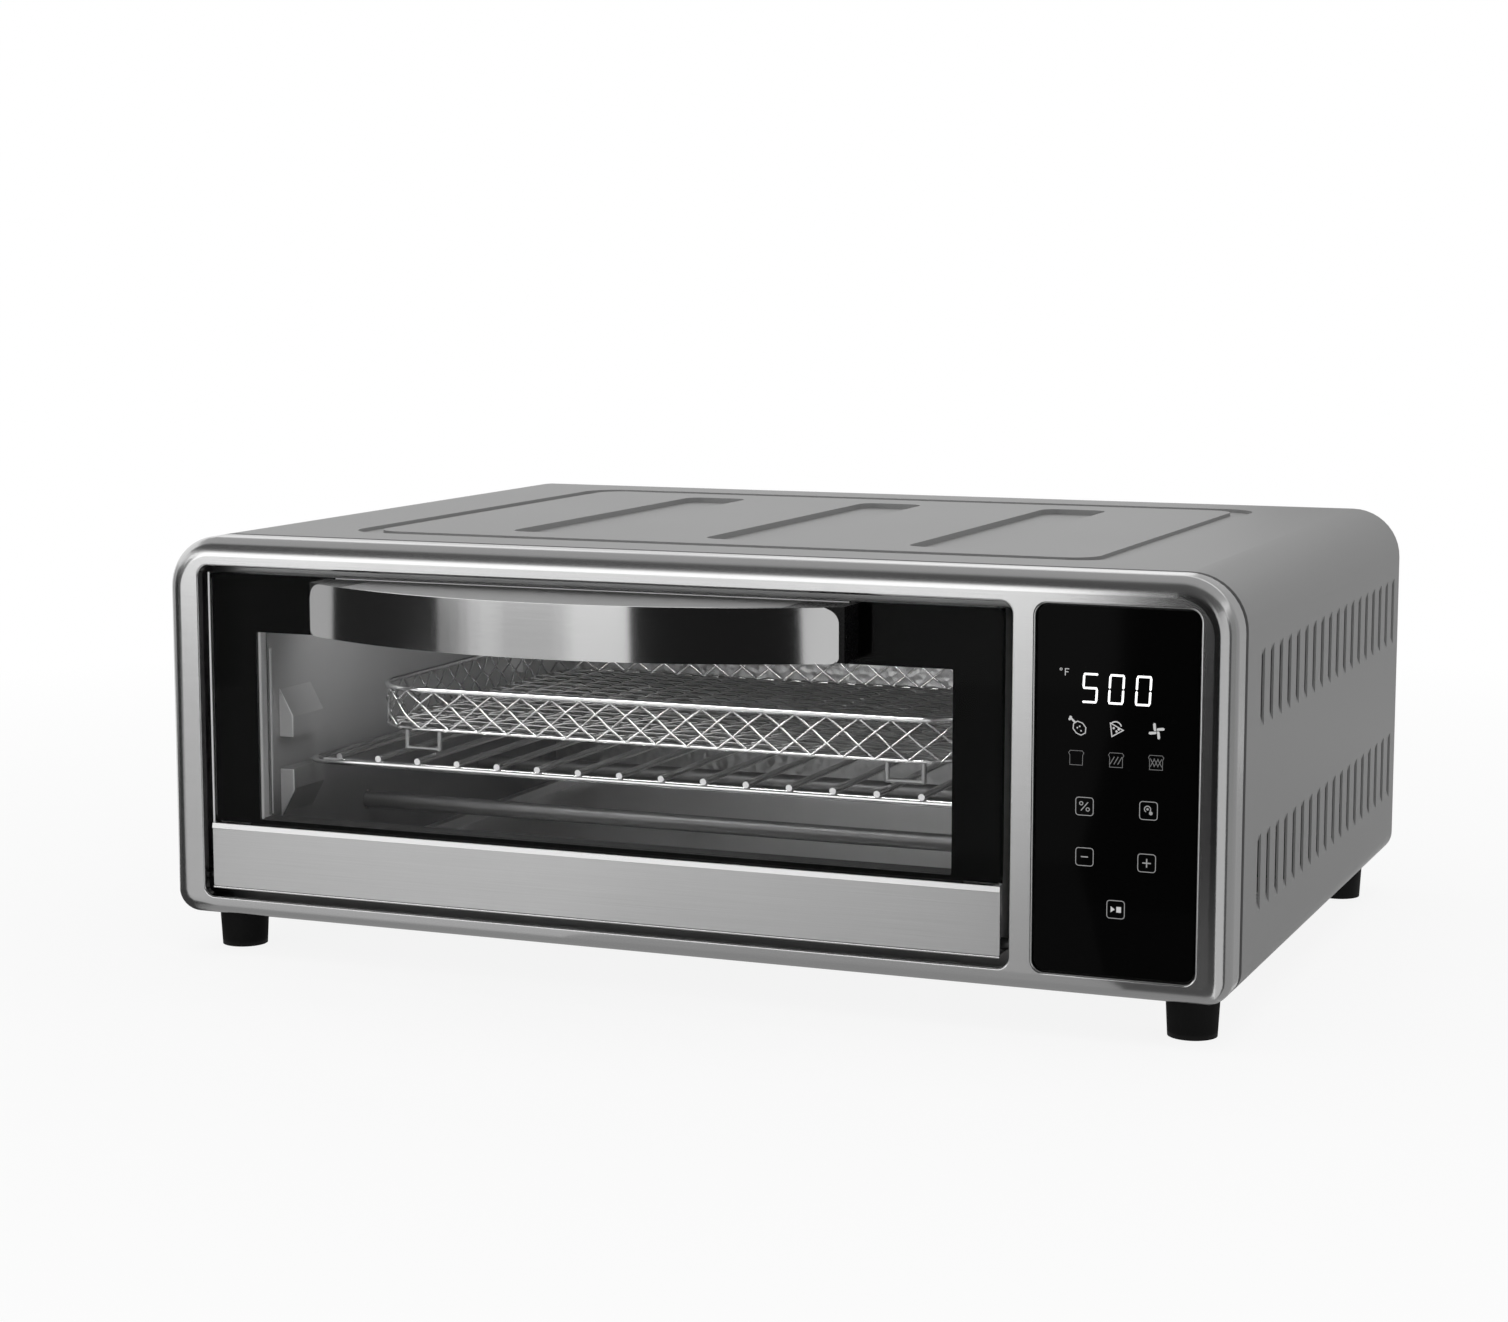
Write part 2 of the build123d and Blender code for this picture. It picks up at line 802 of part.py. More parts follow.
def bladed_wheel(x0, width, radius, bore):
    """A hub with radial blades."""
    wheel = rod_x(x0, x0 + width, fan_y, fan_z, fan_hub_radius)
    for step in range(fan_blade_count):
        blade = block(
            x0, x0 + width, -fan_blade_thickness / 2, fan_blade_thickness / 2,
            fan_hub_radius / 2, radius,
        )
        turn = Rot(360 / fan_blade_count * step, 0, 0)
        wheel += Pos(0, fan_y, fan_z) * turn * blade
    return wheel - rod_x(x0 - cut_margin, x0 + width + cut_margin, fan_y, fan_z, bore)


def convection_fan():
    """Wheel that moves the oven's air."""
    return bladed_wheel(fan_start, fan_width, fan_radius, shaft_radius)


def cooling_fan():
    """Wheel on the shaft's far end that cools the electronics."""
    return bladed_wheel(cooling_start, cooling_fan_width, cooling_fan_radius, shaft_radius)


def motor_shaft():
    """Shaft through the motor, with a fan on each end."""
    return rod_x(fan_start, cooling_end, fan_y, fan_z, shaft_radius)


def motor_plate_part():
    """Spacer plate between the housing and the motor."""
    reach = motor_screw_circle + 4 * motor_screw_radius
    plate = block(
        housing_back, motor_start, fan_y - reach, fan_y + reach,
        fan_z - fan_hub_radius, fan_z + fan_hub_radius,
    )
    x0, x1 = housing_back - cut_margin, motor_start + cut_margin
    plate -= rod_x(x0, x1, fan_y, fan_z, shaft_hole_radius)
    for y, z in motor_screw_places():
        plate -= rod_x(x0, x1, y, z, motor_screw_radius + screw_clearance)
    return plate


def fan_motor():
    """Motor can with a bore for its shaft."""
    can = rod_x(motor_start, motor_end, fan_y, fan_z, motor_radius)
    start = motor_start - cut_margin
    can -= rod_x(start, motor_end + cut_margin, fan_y, fan_z, shaft_radius + shaft_clearance)
    for y, z in motor_screw_places():
        can -= rod_x(start, motor_start + 2 * motor_plate, y, z, motor_screw_radius + screw_clearance)
    return can


def motor_screws():
    """Screws from inside the housing into the motor."""
    group = []
    for y, z in motor_screw_places():
        head_end = housing_back - liner_sheet
        shank = rod_x(head_end, motor_start + motor_plate, y, z, motor_screw_radius)
        group.append(shank + rod_x(head_end - screw_head_height, head_end, y, z, screw_head_radius))
    return group


def temperature_probe():
    """Thin rod that reads the oven's temperature through the right wall."""
    rod = rod_x(cavity_right - probe_reach, wall_outside + probe_tail, probe_y, probe_z, probe_radius)
    collar_end = wall_outside + probe_collar_length
    return rod + rod_x(wall_outside, collar_end, probe_y, probe_z, probe_collar_radius)


def thermal_cutout():
    """Button-shaped safety cutout on the ceiling panel."""
    z = cavity_top + liner_sheet
    return rod_z(door_centre, fan_y, z, z + cutout_height, cutout_radius)


def door_glass():
    """Door pane with the handle's two screw holes."""
    face = rounded(door_left, door_right, glass_bottom, door_top, door_corner_radius)
    pane = slab(face, door_setback, glass_back)
    for x in handle_screw_places():
        pane -= rod_y(
            x, door_setback - cut_margin, glass_back + cut_margin, handle_screw_z,
            handle_screw_radius + rest_gap,
        )
    return pane


def window_face(margin):
    """The door's window, grown by a margin."""
    return rounded(
        window_left - margin, window_right + margin,
        window_bottom - margin, window_top + margin, window_corner_radius + margin,
    )


def rebate_face(margin):
    """The wider opening behind the window's jamb, grown by a margin."""
    side = window_rebate + margin
    return rounded(
        window_left - side, window_right + side,
        window_bottom - margin, window_top + side, window_corner_radius + margin,
    )


def glass_gasket():
    """Soft ring between the pane and the door's inner pan, cut level with the pane's lower edge."""
    ring = slab(window_face(gasket_width), glass_back, gasket_back)
    ring -= slab(window_face(0), glass_back - cut_margin, gasket_back + cut_margin)
    return ring - block(door_left, door_right, 0, gasket_back + cut_margin, 0, glass_bottom)


def door_inner_pan():
    """Pressed steel pan behind the pane, with the window, a shelf for the pane and hinge blocks."""
    sheet = door_sheet
    left, right = door_left + sheet, door_right - sheet
    low, high = door_bottom + strip_sheet + rest_gap, door_top - sheet
    pan = slab(rounded(left, right, low, high, door_corner_radius), gasket_back, door_back)
    hollow = rounded(left + sheet, right - sheet, low + sheet, high - sheet, door_corner_radius)
    pan -= slab(hollow, gasket_back - cut_margin, door_back - sheet)
    step = gasket_back + window_jamb
    pan += slab(window_face(sheet), gasket_back, step + sheet)
    pan += slab(rebate_face(sheet), step, door_back)
    shelf_top = strip_top - rest_gap
    shelf_front = door_setback + strip_sheet
    pan += block(left, right, shelf_front, door_back, shelf_top - glass_shelf, shelf_top)
    for x0, x1 in ((left, left + hinge_block_length), (right - hinge_block_length, right)):
        pan += block(x0, x1, shelf_front, door_back, low, low + hinge_block_height)
    pan -= slab(window_face(0), gasket_back - cut_margin, door_back + cut_margin)
    pan -= slab(rebate_face(0), step + sheet, door_back + cut_margin)
    bore = hinge_pin_radius + hinge_pin_clearance
    for x0, x1 in ((left, left + hinge_block_length), (right - hinge_block_length, right)):
        pan -= rod_x(x0 - cut_margin, x1 + cut_margin, hinge_y, hinge_z, bore)
    return pan


def door_strip():
    """Plain steel strip along the door's lower edge, turned in underneath."""
    front = strip_front
    face = rounded(door_left, door_right, door_bottom, strip_top, strip_sheet)
    strip = slab(face, front, front + strip_sheet)
    return strip + block(
        door_left + strip_sheet, door_right - strip_sheet, front, door_back - door_sheet,
        door_bottom, door_bottom + strip_sheet,
    )


def handle_screw_places():
    """The two screws are centred in the handle's ends."""
    return [door_centre - handle_screw_offset, door_centre + handle_screw_offset]


def bow(inset, half_length, z0, z1):
    """The handle's bowed plan, from its front curve back to the pane."""
    radius = handle_bow_radius - inset
    disc = rod_z(door_centre, handle_bow_radius - handle_reach, z0, z1, radius)
    room = block(
        door_centre - half_length, door_centre + half_length,
        -handle_reach - cut_margin, door_setback, z0, z1,
    )
    return disc & room


def handle_strap():
    """Bowed steel face of the handle, with larger round corners above than below."""
    thick = handle_strap_thickness
    half = handle_half - thick
    strap = bow(0, half, handle_bottom, handle_top) - bow(thick, handle_half, handle_bottom, handle_top)
    upper, lower = handle_corner_radius, handle_lower_corner_radius
    left, right = door_centre - half, door_centre + half
    face = rounded(left, right, handle_bottom - upper, handle_top, upper)
    face &= rounded(left, right, handle_bottom, handle_top + lower, lower)
    return strap & slab(face, -handle_reach - cut_margin, door_setback)


def handle_core():
    """Dark carrier behind the strap, with an end that runs back to the pane on each side."""
    thick = handle_strap_thickness
    inner = handle_half - handle_end_length
    low, high = handle_bottom, handle_top
    core = bow(thick, handle_half, low, high)
    core -= bow(thick + handle_core_thickness, inner, low - cut_margin, high + cut_margin)
    core -= bow(thick, inner, high - handle_roof_thickness, high + cut_margin)
    for x in handle_screw_places():
        core -= rod_y(
            x, door_setback - handle_screw_depth, door_setback + cut_margin, handle_screw_z,
            handle_screw_radius + screw_clearance,
        )
    return core


def handle_roof():
    """Satin plate that closes the top of the handle between its ends."""
    thick = handle_strap_thickness
    inner = handle_half - handle_end_length
    return bow(thick, inner, handle_top - handle_roof_thickness, handle_top)


def handle_screws():
    """Screws from inside the door, through the pane, into the handle's ends."""
    group = []
    for x in handle_screw_places():
        tip = door_setback - handle_screw_depth + handle_screw_end_gap
        shank = rod_y(x, tip, glass_back, handle_screw_z, handle_screw_radius)
        head_back = glass_back + screw_head_height
        head = rod_y(x, glass_back, head_back, handle_screw_z, handle_screw_head_radius)
        group.append(shank + head)
    return group


def hinge_bracket(left):
    """Plate on the face plate that holds one hinge pin."""
    inner = opening_left - frame_sheet - rest_gap if left else opening_right + frame_sheet + rest_gap
    x0, x1 = sorted((inner, inner + (-1 if left else 1) * hinge_bracket_width))
    reach = hinge_pin_radius + hinge_bracket_margin
    y0 = max(hinge_y - reach, frame_lip_depth + rest_gap)
    plate = block(x0, x1, y0, flange_front, hinge_z - reach, hinge_z + reach)
    return plate - rod_x(x0 - cut_margin, x1 + cut_margin, hinge_y, hinge_z, hinge_pin_radius)


def hinge_pin(left):
    """Pin from the bracket into the door's hinge block."""
    if left:
        x0 = opening_left - frame_sheet - rest_gap - hinge_bracket_width
        x1 = door_left + hinge_block_length
    else:
        x0 = door_right - hinge_block_length
        x1 = opening_right + frame_sheet + rest_gap + hinge_bracket_width
    return rod_x(x0, x1, hinge_y, hinge_z, hinge_pin_radius)


def rack_wire_places():
    """The rack's wires are spread evenly either side of a line near its middle."""
    middle = (rack_left + rack_right) / 2 + rack_wire_shift
    span = (rack_right - rack_left) / 2 - 2 * rack_bar_radius - 2 * rack_wire_radius
    count = int(span / rack_wire_pitch)
    return [middle + index * rack_wire_pitch for index in range(-count, count + 1)]


def wire_rack():
    """Rectangular bar frame with wires welded across its top."""
    bar = rack_bar_radius
    outer = Pos((rack_left + rack_right) / 2, (rack_front + rack_back) / 2)
    length_x = rack_right - rack_left - 2 * bar
    length_y = rack_back - rack_front - 2 * bar
    path = Pos(0, 0, rack_z) * outer * RectangleRounded(length_x, length_y, rack_corner_radius).wire()
    start = Plane(origin=path @ 0, z_dir=path % 0)
    rack = sweep(start * Circle(bar), path=path)
    for x in rack_wire_places():
        rack += rod_y(x, rack_front, rack_back, rack_wire_z, rack_wire_radius)
    return rack


def diamonds(length, height, pitch_u, pitch_v):
    """Diamond gaps between crossing strands, kept inside a length and a height."""
    slant = (pitch_u**2 + pitch_v**2) ** 0.5
    half_u = pitch_u / 2 - mesh_strand * slant / pitch_v / 2
    half_v = pitch_v / 2 - mesh_strand * slant / pitch_u / 2
    gaps = []
    columns = int(length / pitch_u)
    rows = max(1, int(height / pitch_v))
    for row in range(2 * rows - 1):
        shift = row % 2
        v = (row + 1) * pitch_v / 2 - rows * pitch_v / 2
        for column in range(columns - shift):
            u = (column + (1 + shift) / 2) * pitch_u - columns * pitch_u / 2
            gaps.append(Pos(u, v) * make_face(Polyline(
                (-half_u, 0), (0, -half_v), (half_u, 0), (0, half_v), close=True,
            )))
    return gaps


def basket_plan(inset):
    """The basket's plan, drawn in by an inset."""
    x, y = (basket_left + basket_right) / 2, (basket_front + basket_back) / 2
    return Pos(x, y) * RectangleRounded(
        basket_right - basket_left - 2 * inset, basket_back - basket_front - 2 * inset,
        basket_corner_radius - inset,
    )


def basket_floor():
    """Floor of the mesh basket, one sheet of diamond mesh."""
    x, y = (basket_left + basket_right) / 2, (basket_front + basket_back) / 2
    margin = basket_corner_radius / 2
    gaps = diamonds(
        basket_right - basket_left - 2 * margin, basket_back - basket_front - 2 * margin,
        mesh_pitch, mesh_pitch,
    )
    face = basket_plan(basket_wall + rest_gap / 2)
    face -= [Pos(x, y) * gap for gap in gaps]
    return Pos(0, 0, basket_floor_z) * extrude(face, amount=basket_wall)


def basket_walls():
    """Sides of the mesh basket, with one row of diamonds on each straight stretch."""
    ring = extrude(basket_plan(0) - basket_plan(basket_wall), amount=basket_height)
    ring = Pos(0, 0, basket_floor_z) * ring
    x, y = (basket_left + basket_right) / 2, (basket_front + basket_back) / 2
    z = basket_floor_z + basket_height / 2
    tall = basket_height - 2 * mesh_strand
    runs = (
        (basket_right - basket_left - 2 * basket_corner_radius, 0),
        (basket_back - basket_front - 2 * basket_corner_radius, 90),
    )
    for length, turn in runs:
        sketch = Sketch() + diamonds(length, tall, mesh_pitch, tall)
        reach = max(basket_right - basket_left, basket_back - basket_front)
        cutter = extrude(Plane.XZ * sketch, amount=reach, both=True)
        ring -= Pos(x, y, z) * Rot(0, 0, turn) * cutter
    return ring


def basket_rim():
    """Round wire along the basket's upper edge."""
    path = Pos(0, 0, basket_rim_z + basket_rim_radius) * basket_plan(basket_wall / 2).wire()
    start = Plane(origin=path @ 0, z_dir=path % 0)
    return sweep(start * Circle(basket_rim_radius), path=path)


def basket_feet():
    """Bent wire feet under the basket that stand on the rack."""
    group = []
    wire = basket_foot_radius
    low = rack_top + rest_gap + wire
    x_places = (basket_left + basket_corner_radius, basket_right - basket_corner_radius)
    y_places = (basket_front + basket_foot_inset, basket_back - basket_foot_inset)
    for x in x_places:
        for y in y_places:
            leg = basket_foot_length / 2
            foot_wire = rod_x(x - leg, x + leg, y, low, wire)
            for at in (x - leg, x + leg):
                foot_wire += rod_z(at, y, low, basket_floor_z, wire)
                foot_wire += Pos(at, y, low) * Sphere(wire)
            group.append(foot_wire)
    return group


def crumb_tray():
    """Shallow pan on the oven's floor that draws out at the rear by its lip."""
    sheet = tray_sheet
    pan = block(tray_left, tray_right, tray_front, tray_back, tray_bottom, tray_top)
    pan -= block(
        tray_left + sheet, tray_right - sheet, tray_front + sheet, cavity_back - sheet,
        tray_bottom + sheet, tray_top + cut_margin,
    )
    pan -= block(
        tray_left + sheet, tray_right - sheet, cavity_back, tray_back + cut_margin,
        tray_bottom + sheet, tray_top + cut_margin,
    )
    overhang = tray_slot_clearance + tray_lip_overhang
    return pan + block(
        tray_left - overhang, tray_right + overhang, tray_back, tray_back + tray_lip_thickness,
        tray_bottom, tray_bottom + tray_lip_height,
    )


def control_panel_glass():
    """Gloss touch plate in the frame's right opening."""
    face = rounded(
        panel_left + panel_gap, panel_right - panel_gap,
        opening_bottom + panel_gap, opening_top - panel_gap, opening_corner_radius - panel_gap,
    )
    return slab(face, panel_setback, panel_glass_back)


def panel_backing():
    """Plastic holder behind the touch plate, wider than the opening."""
    reach = frame_sheet + backing_overlap - rest_gap
    face = rounded(
        panel_left - reach, panel_right + reach,
        opening_bottom - reach, opening_top + reach, opening_corner_radius,
    )
    holder = slab(face, backing_front, backing_back)
    x = (panel_left + panel_right) / 2
    z1 = opening_top - display_top_drop
    return holder - block(
        x - display_width / 2, x + display_width / 2,
        backing_front - cut_margin, backing_back + cut_margin, z1 - display_height, z1,
    )


def display_module():
    """Lit number display behind the touch plate."""
    x = (panel_left + panel_right) / 2
    z1 = opening_top - display_top_drop
    return block(
        x - display_width / 2 + rest_gap, x + display_width / 2 - rest_gap,
        backing_front, backing_front + display_depth, z1 - display_height + rest_gap, z1 - rest_gap,
    )


def control_board_corners():
    """The control board's edges."""
    return (
        panel_left + board_margin, panel_right - board_margin,
        opening_bottom + board_margin, opening_top - board_margin,
    )


def control_board():
    """Circuit board with the display's and the keys' parts."""
    x0, x1, z0, z1 = control_board_corners()
    board = block(x0, x1, board_front, board_back, z0, z1)
    middle = (x0 + x1) / 2
    step = (z1 - z0) / (chip_rows + 1)
    for row in range(1, chip_rows + 1):
        z = z0 + row * step
        board += block(
            middle - chip_width / 2, middle + chip_width / 2, board_back, board_back + chip_thickness,
            z - chip_height / 2, z + chip_height / 2,
        )
    return board


def board_spacers():
    """Posts from the panel's holder to the control board."""
    x0, x1, z0, z1 = control_board_corners()
    group = []
    for x in (x0 + board_margin, x1 - board_margin):
        for z in (z0 + board_margin, z1 - board_margin):
            group.append(rod_y(x, backing_back, board_front, z, spacer_radius))
    return group


def power_board_corners():
    """The power board's edges in plan."""
    x0 = wall_outside + power_board_margin
    x1 = half_width - case_sheet - louvre_press - power_board_margin
    y1 = rear_plate_front - 2 * power_board_margin
    return x0, x1, y1 - power_board_depth, y1


def power_board():
    """Circuit board with the transformer and the heaters' relays."""
    x0, x1, y0, y1 = power_board_corners()
    z0 = base_top + power_board_rise
    top = z0 + board_thickness
    board = block(x0, x1, y0, y1, z0, top)
    edge = board_margin + 2 * spacer_radius
    board += block(
        x0 + edge, x0 + edge + transformer_size, y1 - edge - transformer_size, y1 - edge,
        top, top + transformer_height,
    )
    for index in range(relay_count):
        y = y0 + edge + index * relay_pitch
        board += block(x0 + edge, x0 + edge + relay_length, y, y + relay_width, top, top + relay_width)
    return board


def power_board_spacers():
    """Posts from the base plate to the power board."""
    x0, x1, y0, y1 = power_board_corners()
    group = []
    for x in (x0 + board_margin, x1 - board_margin):
        for y in (y0 + board_margin, y1 - board_margin):
            group.append(rod_z(x, y, base_top, base_top + power_board_rise, spacer_radius))
    return group


pieces = {
    "front_frame": front_frame(),
    "wrap_cover": wrap_cover(),
    "base_plate": base_plate(),
    "rear_cover": rear_cover(),
    "rear_brackets": rear_brackets(),
    "rear_cover_screws": rear_cover_screws(),
    "foot_screws": foot_screws(),
    "cord_gland": cord_gland(),
    "cavity_flange": cavity_flange(),
    "cavity_ceiling": cavity_ceiling(),
    "cavity_floor_panel": cavity_floor_panel(),
    "cavity_left_wall": cavity_left_wall(),
    "cavity_right_wall": cavity_right_wall(),
    "cavity_back_panel": cavity_back_panel(),
    "cavity_stands": cavity_stands(),
    "heater_upper_front": heater(heater_front_y, heater_high_z),
    "heater_upper_rear": heater(heater_rear_y, heater_high_z),
    "heater_lower_front": heater(heater_front_y, heater_low_z),
    "heater_lower_rear": heater(heater_rear_y, heater_low_z),
    "heater_holders": heater_holders(),
    "fan_guard": fan_guard(),
    "fan_housing": fan_housing(),
    "convection_fan": convection_fan(),
    "motor_shaft": motor_shaft(),
    "cooling_fan": cooling_fan(),
    "motor_plate": motor_plate_part(),
    "fan_motor": fan_motor(),
    "motor_screws": motor_screws(),
    "temperature_probe": temperature_probe(),
    "thermal_cutout": thermal_cutout(),
    "door_glass": door_glass(),
    "glass_gasket": glass_gasket(),
    "door_inner_pan": door_inner_pan(),
    "door_strip": door_strip(),
    "handle_strap": handle_strap(),
    "handle_core": handle_core(),
    "handle_roof": handle_roof(),
    "handle_screws": handle_screws(),
    "hinge_bracket_left": hinge_bracket(True),
    "hinge_bracket_right": hinge_bracket(False),
    "hinge_pin_left": hinge_pin(True),
    "hinge_pin_right": hinge_pin(False),
    "wire_rack": wire_rack(),
    "basket_floor": basket_floor(),
    "basket_walls": basket_walls(),
    "basket_rim": basket_rim(),
    "basket_feet": basket_feet(),
    "crumb_tray": crumb_tray(),
    "control_panel_glass": control_panel_glass(),
    "panel_backing": panel_backing(),
    "display_module": display_module(),
    "control_board": control_board(),
    "board_spacers": board_spacers(),
    "power_board": power_board(),
    "power_board_spacers": power_board_spacers(),
}
for place, (x, y) in foot_places.items():
    pieces[f"foot_{place}"] = foot(x, y)

os.makedirs("parts", exist_ok=True)
to_frame = Pos(0, -middle_y, 0)
for name, shape in pieces.items():
    if isinstance(shape, list):
        whole = Compound([solid for piece in shape for solid in (to_frame * piece).solids()])
    else:
        whole = to_frame * shape
    export_step(whole, f"parts/{name}.step")
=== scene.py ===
import bpy
import bmesh
import math
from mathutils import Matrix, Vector


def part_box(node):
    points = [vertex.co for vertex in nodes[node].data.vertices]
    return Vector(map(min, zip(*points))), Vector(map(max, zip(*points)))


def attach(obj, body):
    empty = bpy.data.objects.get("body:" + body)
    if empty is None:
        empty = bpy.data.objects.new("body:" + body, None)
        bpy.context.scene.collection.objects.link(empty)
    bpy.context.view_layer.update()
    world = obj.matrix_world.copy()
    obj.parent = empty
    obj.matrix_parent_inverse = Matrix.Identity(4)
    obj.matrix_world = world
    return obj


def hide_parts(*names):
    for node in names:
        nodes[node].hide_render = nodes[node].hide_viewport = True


for spare in ("Cube", "Light", "Camera"):
    if spare in bpy.data.objects:
        bpy.data.objects.remove(bpy.data.objects[spare])

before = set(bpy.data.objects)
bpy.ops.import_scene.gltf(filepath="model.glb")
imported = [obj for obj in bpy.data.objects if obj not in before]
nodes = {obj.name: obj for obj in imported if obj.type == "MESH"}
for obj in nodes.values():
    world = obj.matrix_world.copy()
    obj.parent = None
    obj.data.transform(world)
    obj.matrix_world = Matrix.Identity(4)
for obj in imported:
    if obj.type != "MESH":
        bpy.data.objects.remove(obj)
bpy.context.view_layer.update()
MM = 0.001


# Helpers

def grey(value):
    """A neutral colour, or the colour itself."""
    return (value, value, value, 1) if isinstance(value, (int, float)) else (*value, 1)


def add(tree, kind, sockets=None, **settings):
    """A node with its settings and the values of its input sockets."""
    node = tree.nodes.new(kind)
    for key, value in settings.items():
        setattr(node, key, value)
    for key, value in (sockets or {}).items():
        node.inputs[key].default_value = value
    return node


def place_vector(tree, stretch=(1, 1, 1)):
    """Object coordinates stretched along the three axes."""
    where = add(tree, "ShaderNodeTexCoord")
    mapping = add(tree, "ShaderNodeMapping", sockets={"Scale": stretch})
    tree.links.new(where.outputs["Object"], mapping.inputs["Vector"])
    return mapping.outputs["Vector"]


def mesh_piece(name, bm, material):
    """A piece of the scene from a mesh in the making."""
    mesh = bpy.data.meshes.new(name)
    bm.to_mesh(mesh)
    bm.free()
    mesh.materials.append(material)
    piece = bpy.data.objects.new(name, mesh)
    bpy.context.collection.objects.link(piece)
    return piece


def arc(x, z, radius, start, turn, steps):
    """Points along an upright arc, both ends included, with its start and turn in degrees."""
    angles = [math.radians(start + turn * i / steps) for i in range(steps + 1)]
    return [(x + radius * math.cos(angle), z + radius * math.sin(angle)) for angle in angles]


# Shared effects

COLOUR = "NodeSocketColor"
NUMBER = "NodeSocketFloat"
TONE_INPUTS = [("Dark", COLOUR, grey(0.1)), ("Light", COLOUR, grey(0.2)),
               ("Smooth", NUMBER, 0.3), ("Rough", NUMBER, 0.5)]
FINENESS_INPUT = ("Fineness", NUMBER, 900.0)
BRUSH_STRETCH = (14, 1400, 1400)


def effect(name, inputs):
    """An empty node group with named inputs, and outputs for colour, roughness and height."""
    tree = bpy.data.node_groups.new(name, "ShaderNodeTree")
    for label, kind, value in inputs:
        socket = tree.interface.new_socket(label, in_out="INPUT", socket_type=kind)
        socket.default_value = value
    for label, kind in (("Color", COLOUR), ("Roughness", NUMBER), ("Height", NUMBER)):
        tree.interface.new_socket(label, in_out="OUTPUT", socket_type=kind)
    start = tree.nodes.new("NodeGroupInput")
    end = tree.nodes.new("NodeGroupOutput")
    return tree, start, end


def blended(tree, fine, broad, share):
    """A fine and a broad noise mixed into one mask."""
    blend = add(tree, "ShaderNodeMix", data_type="FLOAT", sockets={"Factor": share})
    tree.links.new(fine.outputs["Fac"], blend.inputs["A"])
    tree.links.new(broad.outputs["Fac"], blend.inputs["B"])
    return blend.outputs["Result"]


def spread(tree, start, end, mask, height):
    """Spreads a mask between the two tones and the two roughnesses, and puts out a height."""
    colour = add(tree, "ShaderNodeMix", data_type="RGBA")
    tree.links.new(mask, colour.inputs["Factor"])
    tree.links.new(start.outputs["Dark"], colour.inputs["A"])
    tree.links.new(start.outputs["Light"], colour.inputs["B"])
    tree.links.new(colour.outputs["Result"], end.inputs["Color"])
    rough = add(tree, "ShaderNodeMapRange")
    tree.links.new(mask, rough.inputs["Value"])
    tree.links.new(start.outputs["Smooth"], rough.inputs["To Min"])
    tree.links.new(start.outputs["Rough"], rough.inputs["To Max"])
    tree.links.new(rough.outputs["Result"], end.inputs["Roughness"])
    tree.links.new(height, end.inputs["Height"])


def make_brushed_along():
    """Fine level brush lines with a slow change of tone."""
    tree, start, end = effect("brushed_along", TONE_INPUTS)
    lines = add(tree, "ShaderNodeTexNoise", sockets={"Scale": 1.0, "Detail": 5.0, "Roughness": 0.65})
    tree.links.new(place_vector(tree, BRUSH_STRETCH), lines.inputs["Vector"])
    slow = add(tree, "ShaderNodeTexNoise", sockets={"Scale": 9.0, "Detail": 2.0})
    tree.links.new(place_vector(tree), slow.inputs["Vector"])
    spread(tree, start, end, blended(tree, lines, slow, 0.3), lines.outputs["Fac"])
    return tree


def make_fine_speckle():
    """Even fine texture with faint blotches, for coats, plastics, rubber and sheet."""
    tree, start, end = effect("fine_speckle", TONE_INPUTS + [FINENESS_INPUT])
    where = place_vector(tree)
    grain = add(tree, "ShaderNodeTexNoise", sockets={"Detail": 3.0, "Roughness": 0.6})
    tree.links.new(where, grain.inputs["Vector"])
    tree.links.new(start.outputs["Fineness"], grain.inputs["Scale"])
    blotch = add(tree, "ShaderNodeTexNoise", sockets={"Scale": 14.0, "Detail": 3.0})
    tree.links.new(where, blotch.inputs["Vector"])
    spread(tree, start, end, blended(tree, grain, blotch, 0.5), grain.outputs["Fac"])
    return tree


brushed_along = make_brushed_along()
fine_speckle = make_fine_speckle()


# Finishes

BUMP_DEPTH = 0.0004
DIMPLES_PER_METRE = 260
DIMPLE_DEPTH = 0.001


def finish(name, grain, tone, rough, bump=0.0, fineness=None, **shader):
    """A material from a shared effect, with its dark and light tone and its least and most roughness."""
    material = bpy.data.materials.new(name)
    material.use_nodes = True
    tree = material.node_tree
    surface = tree.nodes["Principled BSDF"]
    for label, value in shader.items():
        surface.inputs[label.replace("_", " ")].default_value = value
    texture = add(tree, "ShaderNodeGroup", node_tree=grain)
    for label, value in zip(("Dark", "Light"), tone):
        texture.inputs[label].default_value = grey(value)
    for label, value in zip(("Smooth", "Rough"), rough):
        texture.inputs[label].default_value = value
    if fineness:
        texture.inputs["Fineness"].default_value = fineness
    tree.links.new(texture.outputs["Color"], surface.inputs["Base Color"])
    tree.links.new(texture.outputs["Roughness"], surface.inputs["Roughness"])
    if bump:
        dent = add(tree, "ShaderNodeBump", sockets={"Strength": bump, "Distance": BUMP_DEPTH})
        tree.links.new(texture.outputs["Height"], dent.inputs["Height"])
        tree.links.new(dent.outputs["Normal"], surface.inputs["Normal"])
    return material


def upright_sheen(material, amount):
    """Stretches a brushed finish's reflections upright, across its level brush lines."""
    tree = material.node_tree
    surface = tree.nodes["Principled BSDF"]
    surface.inputs["Anisotropic"].default_value = amount
    surface.inputs["Anisotropic Rotation"].default_value = 0.25
    turn = add(tree, "ShaderNodeTangent", direction_type="RADIAL", axis="Z")
    tree.links.new(turn.outputs["Tangent"], surface.inputs["Tangent"])


